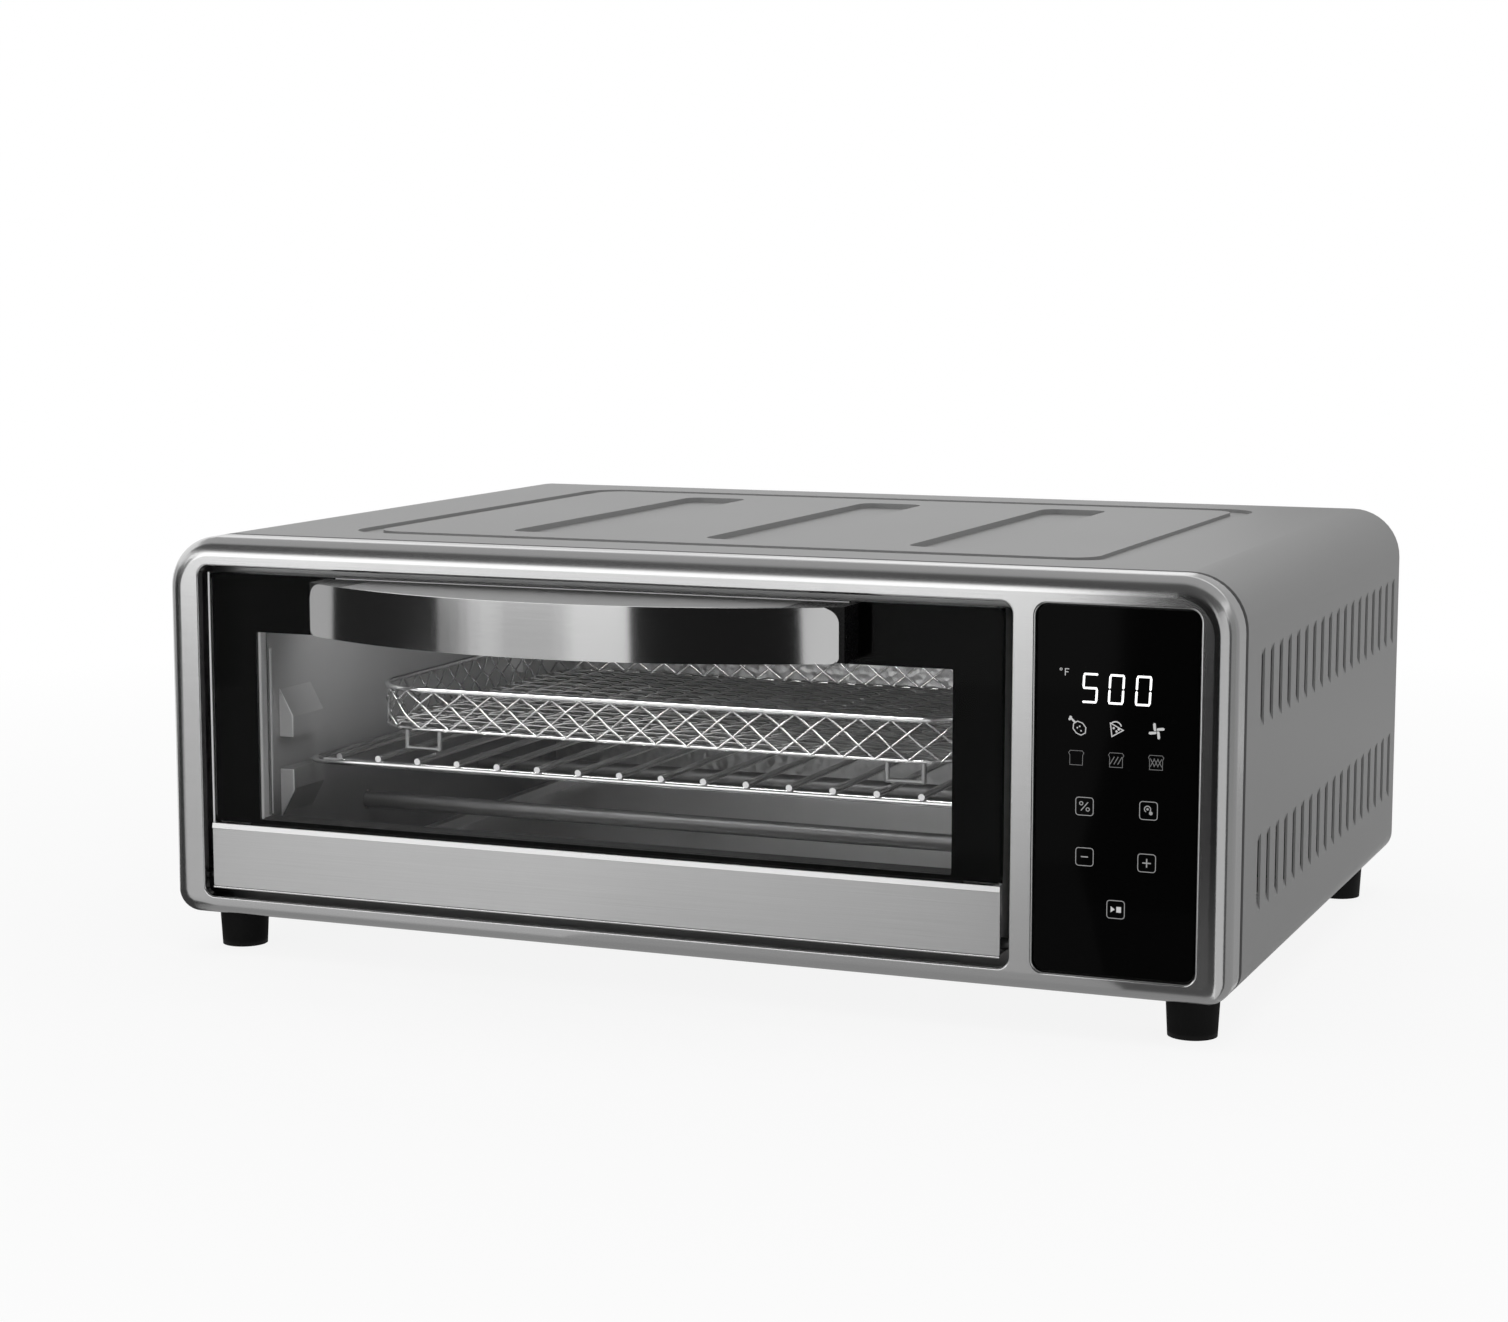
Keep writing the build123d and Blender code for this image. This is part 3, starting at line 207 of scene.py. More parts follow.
def dimple(material, strength):
    """Adds a hammered pattern to a sheet finish."""
    tree = material.node_tree
    cells = add(tree, "ShaderNodeTexVoronoi", feature="SMOOTH_F1", sockets={"Scale": 1.0, "Smoothness": 0.4})
    tree.links.new(place_vector(tree, (DIMPLES_PER_METRE,) * 3), cells.inputs["Vector"])
    dent = add(tree, "ShaderNodeBump", sockets={"Strength": strength, "Distance": DIMPLE_DEPTH})
    tree.links.new(cells.outputs["Distance"], dent.inputs["Height"])
    tree.links.new(dent.outputs["Normal"], tree.nodes["Principled BSDF"].inputs["Normal"])


def paint_shade(material, axis, low, high, tone):
    """Paints shade into a finish: darkens it towards the low end of an axis."""
    tree = material.node_tree
    colour = tree.nodes["Principled BSDF"].inputs["Base Color"]
    sheet = colour.links[0].from_socket
    where = add(tree, "ShaderNodeSeparateXYZ")
    tree.links.new(place_vector(tree), where.inputs["Vector"])
    rise = add(tree, "ShaderNodeMapRange", interpolation_type="SMOOTHSTEP",
               sockets={"From Min": low, "From Max": high, "To Min": tone, "To Max": 1.0})
    tree.links.new(where.outputs[axis], rise.inputs["Value"])
    tinted = add(tree, "ShaderNodeVectorMath", operation="SCALE")
    tree.links.new(sheet, tinted.inputs[0])
    tree.links.new(rise.outputs["Result"], tinted.inputs["Scale"])
    tree.links.new(tinted.outputs["Vector"], colour)


def make_clear_pane():
    """Clear pane that lets light through to what is behind it."""
    material = finish("clear_pane", fine_speckle, (0.90, 0.94), (0.0, 0.01), Transmission_Weight=1.0, IOR=1.2)
    tree = material.node_tree
    clear = add(tree, "ShaderNodeBsdfTransparent", sockets={"Color": grey(0.85)})
    path = add(tree, "ShaderNodeLightPath")
    passing = add(tree, "ShaderNodeMath", operation="MAXIMUM")
    tree.links.new(path.outputs["Is Shadow Ray"], passing.inputs[0])
    tree.links.new(path.outputs["Is Diffuse Ray"], passing.inputs[1])
    either = add(tree, "ShaderNodeMixShader")
    tree.links.new(passing.outputs["Value"], either.inputs["Fac"])
    tree.links.new(tree.nodes["Principled BSDF"].outputs["BSDF"], either.inputs[1])
    tree.links.new(clear.outputs["BSDF"], either.inputs[2])
    tree.links.new(either.outputs["Shader"], tree.nodes["Material Output"].inputs["Surface"])
    return material


def make_glow(name, tone, strength):
    """A lit sign behind the touch plate, with a faint unevenness."""
    material = finish(name, fine_speckle, tone, (0.4, 0.5), fineness=1500.0)
    surface = material.node_tree.nodes["Principled BSDF"]
    colour = surface.inputs["Base Color"].links[0].from_socket
    material.node_tree.links.new(colour, surface.inputs["Emission Color"])
    surface.inputs["Emission Strength"].default_value = strength
    return material


frame_steel = finish("brushed_frame_steel", brushed_along, (0.58, 0.66), (0.17, 0.23),
                     bump=0.03, Metallic=1.0)
strip_steel = finish("brushed_strip_steel", brushed_along, (0.54, 0.70), (0.34, 0.46),
                     bump=0.14, Metallic=1.0)
trim_steel = finish("brushed_trim_steel", brushed_along, (0.58, 0.68), (0.24, 0.32),
                    bump=0.06, Metallic=1.0)
handle_steel = finish("polished_handle_steel", brushed_along, (0.68, 0.76), (0.08, 0.11),
                      bump=0.01, Metallic=1.0)
for steel, amount in ((frame_steel, 0.85), (strip_steel, 0.6), (trim_steel, 0.75), (handle_steel, 0.5)):
    upright_sheen(steel, amount)

oven_sheet = finish("oven_sheet", brushed_along, (0.36, 0.48), (0.28, 0.42), bump=0.06, Metallic=1.0)
# Painted light: a lighter copy of the oven sheet, so that the cavity floor reads brighter
floor_sheet = finish("oven_floor_sheet", brushed_along, (0.50, 0.62), (0.28, 0.42), bump=0.06, Metallic=1.0)
wall_sheet = finish("oven_wall_sheet", brushed_along, (0.46, 0.56), (0.35, 0.5), bump=0.06, Metallic=0.6)
roof_satin = finish("roof_satin", brushed_along, (0.34, 0.42), (0.3, 0.4), bump=0.05, Metallic=1.0)
# Painted highlight: a near-white finish for the lines and faces that stand in for highlights
painted_highlight = finish("painted_highlight", brushed_along, (0.92, 0.98), (0.3, 0.4), bump=0.03)

wrap_satin = finish("satin_wrap", fine_speckle, (0.32, 0.36), (0.42, 0.52), bump=0.03, Metallic=0.35)
pan_satin = finish("door_pan_satin", fine_speckle, (0.72, 0.80), (0.4, 0.5), bump=0.04, Metallic=0.2)
zinc_sheet = finish("zinc_sheet", fine_speckle, (0.42, 0.56), (0.35, 0.5),
                    bump=0.05, fineness=160.0, Metallic=1.0)
dark_steel = finish("dark_steel", fine_speckle, (0.08, 0.12), (0.35, 0.45), Metallic=1.0)
mesh_wire = finish("mesh_wire", fine_speckle, (0.28, 0.40), (0.25, 0.35), Metallic=1.0)
plated_wire = finish("plated_wire", fine_speckle, (0.72, 0.82), (0.12, 0.2), Metallic=1.0)
plated_screws = finish("plated_screws", fine_speckle, (0.5, 0.62), (0.2, 0.34), Metallic=1.0)
heater_sheath = finish("heater_sheath", fine_speckle, (0.15, 0.22), (0.35, 0.5), bump=0.05, Metallic=0.8)
pressed_fan = finish("pressed_aluminium", fine_speckle, (0.62, 0.72), (0.3, 0.42), Metallic=1.0)
dimpled_sheet = finish("dimpled_oven_sheet", fine_speckle, (0.34, 0.46), (0.26, 0.38), Metallic=1.0)

dark_moulding = finish("dark_moulding", fine_speckle, (0.035, 0.055), (0.4, 0.52), bump=0.06)
motor_coat = finish("motor_coat", fine_speckle, (0.10, 0.14), (0.4, 0.55), bump=0.05)
# Dark seal finish for the real gasket and gland, and also for the pieces of painted shade on the sill and in
# the seam
seal_and_painted_shade = finish("seal_and_painted_shade", fine_speckle, (0.012, 0.02), (0.55, 0.7), bump=0.06)
foot_rubber = finish("foot_rubber", fine_speckle, (0.006, 0.010), (0.65, 0.8),
                     bump=0.08, Specular_IOR_Level=0.15)
handle_black = finish("handle_black", fine_speckle, (0.005, 0.008), (0.22, 0.32),
                      bump=0.02, Specular_IOR_Level=0.2)
panel_gloss = finish("panel_gloss", fine_speckle, (0.002, 0.003), (0.05, 0.07), Specular_IOR_Level=0.06)
border_print = finish("border_print", fine_speckle, (0.0015, 0.0025), (0.5, 0.6), Specular_IOR_Level=0.0)
ceramic = finish("unglazed_ceramic", fine_speckle, ((0.74, 0.71, 0.66), (0.84, 0.81, 0.76)), (0.7, 0.85),
                 bump=0.08)
board_green = finish("board_green", fine_speckle, ((0.02, 0.10, 0.04), (0.03, 0.14, 0.06)), (0.3, 0.42))

clear_pane = make_clear_pane()
lit_number = make_glow("lit_number", (0.92, 1.0), 1.0)
lit_sign = make_glow("lit_sign", (0.36, 0.46), 0.7)
lit_key = make_glow("lit_key", (0.22, 0.30), 0.6)
faint_sign = make_glow("faint_sign", (0.11, 0.16), 0.6)

dimple(dimpled_sheet, 0.5)
# Painted shade: the side walls' finish darkens below the rack, where shade falls
wall_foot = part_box("cavity_left_wall")[0].z
paint_shade(wall_sheet, "Z", low=wall_foot + 0.0255, high=wall_foot + 0.0725, tone=0.3)
# Painted shadow: the cover's finish turns dark along its front edge, for the shade in the seam with the front
# frame
wrap_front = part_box("wrap_cover")[0].y
paint_shade(wrap_satin, "Y", low=wrap_front + 0.0035, high=wrap_front + 0.0042, tone=0.08)

FINISHES = {
    frame_steel: ["front_frame"],
    strip_steel: ["door_strip"],
    handle_steel: ["handle_strap"],
    wrap_satin: ["wrap_cover"],
    zinc_sheet: ["base_plate", "rear_cover", "rear_brackets", "cavity_stands", "fan_housing", "motor_plate"],
    dark_steel: ["hinge_bracket_left", "hinge_bracket_right", "hinge_pin_left", "hinge_pin_right"],
    oven_sheet: ["cavity_flange", "fan_guard"],
    floor_sheet: ["cavity_floor_panel", "crumb_tray"],
    wall_sheet: ["cavity_left_wall", "cavity_right_wall"],
    dimpled_sheet: ["cavity_ceiling", "cavity_back_panel"],
    plated_wire: ["wire_rack", "basket_walls", "basket_rim"],
    mesh_wire: ["basket_floor", "basket_feet"],
    plated_screws: ["rear_cover_screws", "foot_screws", "motor_screws", "handle_screws", "motor_shaft",
                    "temperature_probe", "thermal_cutout"],
    heater_sheath: ["heater_upper_front", "heater_upper_rear", "heater_lower_front", "heater_lower_rear"],
    ceramic: ["heater_holders"],
    pressed_fan: ["convection_fan"],
    dark_moulding: ["cooling_fan", "panel_backing", "display_module", "board_spacers", "power_board_spacers"],
    motor_coat: ["fan_motor"],
    clear_pane: ["door_glass"],
    foot_rubber: ["foot_front_left", "foot_front_right", "foot_rear_left", "foot_rear_right"],
    seal_and_painted_shade: ["glass_gasket", "cord_gland"],
    pan_satin: ["door_inner_pan"],
    handle_black: ["handle_core"],
    roof_satin: ["handle_roof"],
    panel_gloss: ["control_panel_glass"],
    board_green: ["control_board", "power_board"],
}
for material, names in FINISHES.items():
    for name in names:
        mesh = nodes[name].data
        mesh.materials.clear()
        mesh.materials.append(material)


# Soft edges

SHARP_ANGLE = 32
EDGE_WIDTHS = {"handle_strap": 0.0006, "handle_core": 0.0006, "handle_roof": 0.0003, "door_strip": 0.0003,
               "control_panel_glass": 0.0004, "door_glass": 0.0003, "crumb_tray": 0.0002}


def soften(name, width):
    """Rounds a CAD piece's sharp edges a little, as pressed and moulded edges are."""
    piece = nodes[name]
    joined = piece.modifiers.new("join_faces", "WELD")
    joined.merge_threshold = 0.00001
    edge = piece.modifiers.new("soft_edges", "BEVEL")
    edge.width = width
    edge.segments = 2
    edge.limit_method = "ANGLE"
    edge.angle_limit = math.radians(SHARP_ANGLE)
    flat = piece.modifiers.new("even_faces", "WEIGHTED_NORMAL")
    flat.weight = 100
    flat.keep_sharp = False


for name, width in EDGE_WIDTHS.items():
    soften(name, width)


# Panel signs, in mm from the oven's middle and above the case's underside

CASE_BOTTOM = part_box("wrap_cover")[0].z
SIGN_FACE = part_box("control_panel_glass")[0].y - 0.03 * MM
COLUMNS = (184.7, 201.5, 218.2)
PROGRAMME_ROW = 112.9
TOAST_ROW = 100.0
UPPER_LEFT_KEY = (188.5, 80.0)
UPPER_RIGHT_KEY = (215.4, 80.0)
LESS_KEY = (188.8, 59.0)
MORE_KEY = (215.0, 58.3)
START_KEY = (202.3, 38.0)
KEY_HALF, KEY_ROUND = 3.7, 1.2
NUMBER_FOOT = 122.8
DIGIT_WIDTH, DIGIT_HEIGHT, DIGIT_BAR, DIGIT_LEAN = 6.6, 12.4, 0.9, 0.05
SEGMENTS = {"5": "agdcf", "0": "adbcef"}
MITRE_LIMIT = 0.4


class Sign:
    """Thin marks on the touch plate, drawn round a place and collected into one mesh."""

    def __init__(self, name):
        self.name = name
        self.bm = bmesh.new()
        self.at(0, 0)

    def at(self, x, z):
        """Sets the place that the next marks are drawn round."""
        self.x, self.z = x, z

    def point(self, x, z):
        return self.bm.verts.new(((self.x + x) * MM, SIGN_FACE, CASE_BOTTOM + (self.z + z) * MM))

    def area(self, points):
        self.bm.faces.new([self.point(x, z) for x, z in points])

    def stroke(self, points, width, closed=False):
        """A line of even width with mitred corners."""
        count = len(points)
        points = [Vector(point) for point in points]
        left, right = [], []
        for i, here in enumerate(points):
            runs = []
            if closed or i > 0:
                runs.append(here - points[i - 1])
            if closed or i < count - 1:
                runs.append(points[(i + 1) % count] - here)
            sides = [Vector((-run.y, run.x)).normalized() for run in runs]
            side = sum(sides, Vector((0, 0))).normalized()
            reach = width / 2 / max(side.dot(sides[0]), MITRE_LIMIT)
            left.append(here + side * reach)
            right.append(here - side * reach)
        lefts = [self.point(*place) for place in left]
        rights = [self.point(*place) for place in right]
        for i in range(count if closed else count - 1):
            j = (i + 1) % count
            self.bm.faces.new((lefts[i], lefts[j], rights[j], rights[i]))

    def ring(self, x, z, radius, width, start=0, turn=360):
        """A round line, whole or in part."""
        whole = turn == 360
        points = arc(x, z, radius, start, turn, max(6, turn // 18))
        self.stroke(points[:-1] if whole else points, width, closed=whole)

    def disc(self, x, z, radius):
        self.area(arc(x, z, radius, 0, 360, 12)[:-1])

    def done(self, material):
        bmesh.ops.recalc_face_normals(self.bm, faces=self.bm.faces)
        piece = mesh_piece(self.name, self.bm, material)
        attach(piece, "case")


def lit_digit(sign, mark, x):
    """A seven-bar number with a slight lean."""
    sign.at(x, NUMBER_FOOT)
    half, edge, gap = DIGIT_HEIGHT / 2, DIGIT_BAR / 2, DIGIT_BAR * 0.16
    top, right = DIGIT_HEIGHT - edge, DIGIT_WIDTH - edge

    def level(z):
        tip, near, far = gap + edge * 0.2, gap + edge, right - gap
        return [(tip, z), (near, z + edge), (far, z + edge),
                (DIGIT_WIDTH - tip, z), (far, z - edge), (near, z - edge)]

    def upright(middle, low, high):
        foot, head = low + gap, high - gap
        return [(middle, foot), (middle + edge, foot + edge), (middle + edge, head - edge),
                (middle, head), (middle - edge, head - edge), (middle - edge, foot + edge)]

    bars = {"a": level(top), "g": level(half), "d": level(edge),
            "b": upright(right, half, top), "c": upright(right, edge, half),
            "e": upright(edge, edge, half), "f": upright(edge, half, top)}
    for letter in SEGMENTS[mark]:
        sign.area([(px + (pz - half) * DIGIT_LEAN, pz) for px, pz in bars[letter]])


def number_sign():
    """The number in the display."""
    sign = Sign("lit_number")
    for mark, x in (("5", 186.9), ("0", 197.9), ("0", 209.2)):
        lit_digit(sign, mark, x)
    sign.done(lit_number)


def unit_sign():
    """Degree mark and letter beside the number."""
    sign = Sign("lit_unit")
    stem, foot, head, line = 179.6, 133.7, 136.6, 0.34
    sign.ring(stem - 1.8, head - 0.4, 0.45, 0.26)
    sign.stroke([(stem, foot), (stem, head)], line)
    for level, reach in ((head - 0.15, 1.6), (foot + 1.5, 1.3)):
        sign.stroke([(stem - 0.1, level), (stem + reach, level)], line)
    sign.done(lit_sign)


def draw_leg(sign):
    """A drumstick with its bone to the upper left."""
    sign.stroke([(2.5, 1.5), (3.9, -0.3), (3.7, -2.5), (1.9, -3.5), (-0.1, -2.7), (-1.5, -0.9), (-1.3, 1.1),
                 (0.3, 2.2)], 0.4, closed=True)
    sign.stroke([(-0.7, 1.7), (-2.3, 3.2)], 0.8)
    sign.disc(-2.6, 3.7, 0.6)
    sign.disc(-3.0, 2.9, 0.55)
    for x, z in ((1.9, -1.7), (0.3, -0.5), (1.3, 0.1)):
        sign.disc(x, z, 0.35)


def draw_slice(sign):
    """A wedge with a round crust and three dots."""
    sign.stroke([(-2.6, 2.2), (-1.9, -3.3), (2.8, -0.5)], 0.45, closed=True)
    sign.ring(-0.4, 0.4, 2.5, 0.5, start=15, turn=125)
    for x, z in ((-1.2, 0.2), (0.0, -1.1), (0.9, -0.2)):
        sign.disc(x, z, 0.5)


def draw_fan(sign):
    """A pinwheel of four blades."""
    blade = [(0.1, 0.15), (3.1, 0.2), (3.4, 0.9), (2.8, 1.35), (0.8, 1.25), (0.1, 1.0)]
    for quarter in range(4):
        turn = math.radians(90 * quarter + 4)
        cos, sin = math.cos(turn), math.sin(turn)
        sign.area([(x * cos - z * sin, x * sin + z * cos) for x, z in blade])


def programme_signs():
    """The upper row of signs, one in each column."""
    sign = Sign("programme_signs")
    for x, draw in zip(COLUMNS, (draw_leg, draw_slice, draw_fan)):
        sign.at(x, PROGRAMME_ROW)
        draw(sign)
    sign.done(lit_sign)


def toast_signs():
    """Three slices of bread: plain, hatched and cross-hatched."""
    sign = Sign("toast_signs")
    outline = [(-2.7, -3.0), (2.7, -3.0), (2.7, 1.0), (3.2, 2.0),
               (2.6, 2.9), (-2.6, 2.9), (-3.2, 2.0), (-2.7, 1.0)]
    lean, foot = 0.9, -1.8
    for x in COLUMNS:
        sign.at(x, TOAST_ROW)
        sign.stroke(outline, 0.22, closed=True)
    sign.at(COLUMNS[1], TOAST_ROW)
    for shift in (-1.6, 0.0, 1.6):
        sign.stroke([(shift - lean, foot), (shift + lean, 1.4)], 0.34)
    sign.at(COLUMNS[2], TOAST_ROW)
    for shift in (-1.5, 0.0, 1.5):
        for way in (lean, -lean):
            sign.stroke([(shift - way, foot), (shift + way, 1.6)], 0.28)
    sign.done(faint_sign)


def key_outline():
    """Points round a square with round corners."""
    inner = KEY_HALF - KEY_ROUND
    points = []
    for quarter, (x, z) in enumerate(((inner, inner), (-inner, inner), (-inner, -inner), (inner, -inner))):
        points += arc(x, z, KEY_ROUND, 90 * quarter, 90, 4)
    return points


def touch_keys():
    """Five framed keys and the signs in four of them."""
    sign = Sign("touch_keys")
    for key in (UPPER_LEFT_KEY, UPPER_RIGHT_KEY, LESS_KEY, MORE_KEY, START_KEY):
        sign.at(*key)
        sign.stroke(key_outline(), 0.3, closed=True)
    sign.at(*LESS_KEY)
    sign.stroke([(-1.5, 0), (1.5, 0)], 0.5)
    sign.at(*MORE_KEY)
    sign.stroke([(-1.8, 0), (1.8, 0)], 0.5)
    sign.stroke([(0, -1.8), (0, 1.8)], 0.5)
    sign.at(*UPPER_LEFT_KEY)
    sign.stroke([(-1.5, -1.8), (1.5, 1.8)], 0.4)
    sign.ring(-1.4, 1.2, 0.7, 0.35)
    sign.ring(1.4, -1.2, 0.7, 0.35)
    sign.at(*UPPER_RIGHT_KEY)
    sign.ring(-0.4, 0.6, 1.3, 0.4, start=-40, turn=280)
    sign.disc(-0.4, 0.6, 0.5)
    sign.disc(1.0, -1.0, 0.8)
    sign.done(lit_key)


def start_key_sign():
    """Arrow and block in the lowest key."""
    sign = Sign("start_key_sign")
    sign.at(*START_KEY)
    sign.area([(-2.1, -1.3), (-0.3, 0), (-2.1, 1.3)])
    sign.area([(0.3, -1.2), (2.3, -1.2), (2.3, 1.2), (0.3, 1.2)])
    sign.done(lit_sign)


number_sign()
unit_sign()
programme_signs()
toast_signs()
touch_keys()
start_key_sign()


# Basket of crossing wires

WALL_LOW, WALL_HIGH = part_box("basket_walls")
BASKET_CORNER = 0.030
MESH_INSET = 0.0010
MESH_PITCH = 0.0152
MESH_SLOPE = 0.8
MESH_WIRE = 0.0005
MESH_WEAVE = 0.0005
LOWER_WIRE = 0.0008


def basket_edge(distance):
    """Place and outward direction on the mesh's outline, at a distance along it."""
    x0, x1 = WALL_LOW.x + MESH_INSET, WALL_HIGH.x - MESH_INSET
    y0, y1 = WALL_LOW.y + MESH_INSET, WALL_HIGH.y - MESH_INSET
    radius = BASKET_CORNER - MESH_INSET
    bend = math.pi / 2 * radius
    width, depth = x1 - x0 - 2 * radius, y1 - y0 - 2 * radius
    runs = ((x0 + radius, y0, 1, 0, width), (x1, y0 + radius, 0, 1, depth),
            (x1 - radius, y1, -1, 0, width), (x0, y1 - radius, 0, -1, depth))
    left = distance % (2 * (width + depth) + 4 * bend)
    for x, y, dx, dy, length in runs:
        out = Vector((dy, -dx, 0))
        if left <= length:
            return Vector((x + dx * left, y + dy * left, 0)), out
        left -= length
        if left <= bend:
            turn = left / radius
            centre = Vector((x + dx * length, y + dy * length, 0)) - out * radius
            aim = out * math.cos(turn) + Vector((dx, dy, 0)) * math.sin(turn)
            return centre + aim * radius, aim
        left -= bend
    return Vector((x0 + radius, y0, 0)), Vector((0, -1, 0))


def outline_length():
    """Length of the mesh's outline."""
    size = WALL_HIGH - WALL_LOW
    straight = 2 * (size.x + size.y - 4 * MESH_INSET)
    return straight - (8 - math.tau) * (BASKET_CORNER - MESH_INSET)


def wires(name, paths, radius, material, body, closed=False):
    """Round wires along several paths, as one piece."""
    curve = bpy.data.curves.new(name, "CURVE")
    curve.dimensions = "3D"
    curve.bevel_depth = radius
    curve.bevel_resolution = 2
    curve.use_fill_caps = True
    for path in paths:
        spline = curve.splines.new("POLY")
        spline.points.add(len(path) - 1)
        spline.use_cyclic_u = closed
        for point, place in zip(spline.points, path):
            point.co = (*place, 1)
    curve.materials.append(material)
    piece = bpy.data.objects.new(name, curve)
    bpy.context.collection.objects.link(piece)
    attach(piece, body)
    return piece


def basket_side_mesh():
    """Diamond mesh of the basket's sides."""
    around = outline_length()
    count = round(around / MESH_PITCH)
    pitch = around / count
    margin, steps = 0.0006, 10
    base, tall = WALL_LOW.z + margin, WALL_HIGH.z - WALL_LOW.z + margin
    span = tall / MESH_SLOPE
    paths = []
    for index in range(count):
        for way in (-1, 1):
            path = []
            for step in range(steps + 1):
                share = step / steps
                place, out = basket_edge(index * pitch + way * span * share)
                weave = MESH_WEAVE * way * math.cos(math.tau * span * share / pitch)
                path.append(place + out * weave + Vector((0, 0, base + tall * share)))
            paths.append(path)
    sides = wires("basket_side_mesh", paths, MESH_WIRE, plated_wire, "basket")
    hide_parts("basket_walls")


def basket_floor_mesh():
    """Diamond mesh of the basket's floor, cut off at its rounded outline."""
    middle = (WALL_LOW + WALL_HIGH) / 2
    half = (WALL_HIGH - WALL_LOW) / 2
    level, steps = WALL_LOW.z + 0.0012, 60
    limit = BASKET_CORNER - MESH_INSET

    def inside(x, y):
        dx, dy = abs(x) - (half.x - BASKET_CORNER), abs(y) - (half.y - BASKET_CORNER)
        if dx > 0 and dy > 0:
            return math.hypot(dx, dy) < limit
        return dx < limit and dy < limit

    rows = []
    lines = int((half.y + MESH_SLOPE * half.x) / (MESH_PITCH * MESH_SLOPE))
    for way in (-1, 1):
        for index in range(-lines, lines + 1):
            path = []
            for step in range(-steps, steps + 1):
                x = half.x * step / steps
                y = MESH_SLOPE * (way * x + index * MESH_PITCH)
                if inside(x, y):
                    lift = MESH_WEAVE * way * math.cos(math.tau * x / MESH_PITCH)
                    path.append(Vector((middle.x + x, middle.y + y, level + lift)))
            if len(path) > 2:
                rows.append(path)
    bottom = wires("basket_floor_mesh", rows, MESH_WIRE, mesh_wire, "basket")
    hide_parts("basket_floor")


def basket_lower_wire():
    """Wire round the basket's lower edge."""
    around, steps = outline_length(), 120
    rise = Vector((0, 0, WALL_LOW.z + 0.0007))
    ring = [basket_edge(around * i / steps)[0] + rise for i in range(steps)]
    wires("basket_lower_wire", [ring], LOWER_WIRE, plated_wire, "basket", closed=True)


basket_side_mesh()
basket_floor_mesh()
basket_lower_wire()


# Window border, strip trims, painted shade on the sill and in the seam, and painted highlights

GLASS_LOW, GLASS_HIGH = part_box("door_glass")
GASKET_LOW, GASKET_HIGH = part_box("glass_gasket")
GASKET_WIDTH, SILL_HEIGHT = 0.006, 0.0024
WINDOW_LEFT, WINDOW_RIGHT = GASKET_LOW.x + GASKET_WIDTH, GASKET_HIGH.x - GASKET_WIDTH
WINDOW_SILL, WINDOW_LINTEL = GASKET_LOW.z + SILL_HEIGHT, GASKET_HIGH.z - GASKET_WIDTH
SILL_FRONT = GASKET_HIGH.y + 0.0001
SILL_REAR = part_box("door_inner_pan")[1].y - 0.0002


def window_border():
    """Black print on the pane's rear face, round the window."""
    bm = bmesh.new()
    y = GLASS_HIGH.y - 0.00005
    margin = 0.0004

    def corners(x0, x1, z0, z1):
        return [bm.verts.new((x, y, z)) for x, z in ((x0, z0), (x1, z0), (x1, z1), (x0, z1))]

    outer = corners(GLASS_LOW.x + margin, GLASS_HIGH.x - margin, GLASS_LOW.z + margin, GLASS_HIGH.z - margin)
    inner = corners(WINDOW_LEFT, WINDOW_RIGHT, WINDOW_SILL, WINDOW_LINTEL)
    for i in range(4):
        j = (i + 1) % 4
        bm.faces.new((outer[i], outer[j], inner[j], inner[i]))
    piece = mesh_piece("window_border", bm, border_print)
    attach(piece, "door")


def prism(name, start, end, material, body):
    """A solid between two equal outlines."""
    bm = bmesh.new()
    rings = [[bm.verts.new(place) for place in outline] for outline in (start, end)]
    for i in range(len(start)):
        j = (i + 1) % len(start)
        bm.faces.new((rings[0][i], rings[0][j], rings[1][j], rings[1][i]))
    for ring in rings:
        bm.faces.new(ring)
    bmesh.ops.recalc_face_normals(bm, faces=bm.faces)
    piece = mesh_piece(name, bm, material)
    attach(piece, body)


def bar(name, section, ends, material, body):
    """A long bar along the oven's width, from the (y, z) points of its section."""
    start, end = ([(x, y, z) for y, z in section] for x in ends)
    prism(name, start, end, material, body)


def sill_seal():
    """Painted shade: a thin dark strip on the window's sill, with chamfered upper edges."""
    thick, chamfer = 0.0003, 0.00015
    top = WINDOW_SILL + thick
    section = [(SILL_FRONT, WINDOW_SILL), (SILL_REAR, WINDOW_SILL), (SILL_REAR, top - chamfer),
               (SILL_REAR - chamfer, top), (SILL_FRONT + chamfer, top), (SILL_FRONT, top - chamfer)]
    bar("sill_seal", section, (WINDOW_LEFT, WINDOW_RIGHT), seal_and_painted_shade, "door")


def strip_trims():
    """Rolled upper edge and round lower edge of the door's strip."""
    low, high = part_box("door_strip")
    rolled = ((0, -2.4), (-0.5, -2.4), (-0.6, -2.2), (-0.1, 0.1), (0.9, 0.15), (0.9, 0))
    section = [(low.y + y * MM, high.z + z * MM) for y, z in rolled]
    bar("strip_top_trim", section, (low.x, high.x), trim_steel, "door")
    sunk = 0.0003
    path = [(x, low.y + sunk, low.z - sunk) for x in (low.x, high.x)]
    wires("strip_low_trim", [path], 0.0007, plated_wire, "door")


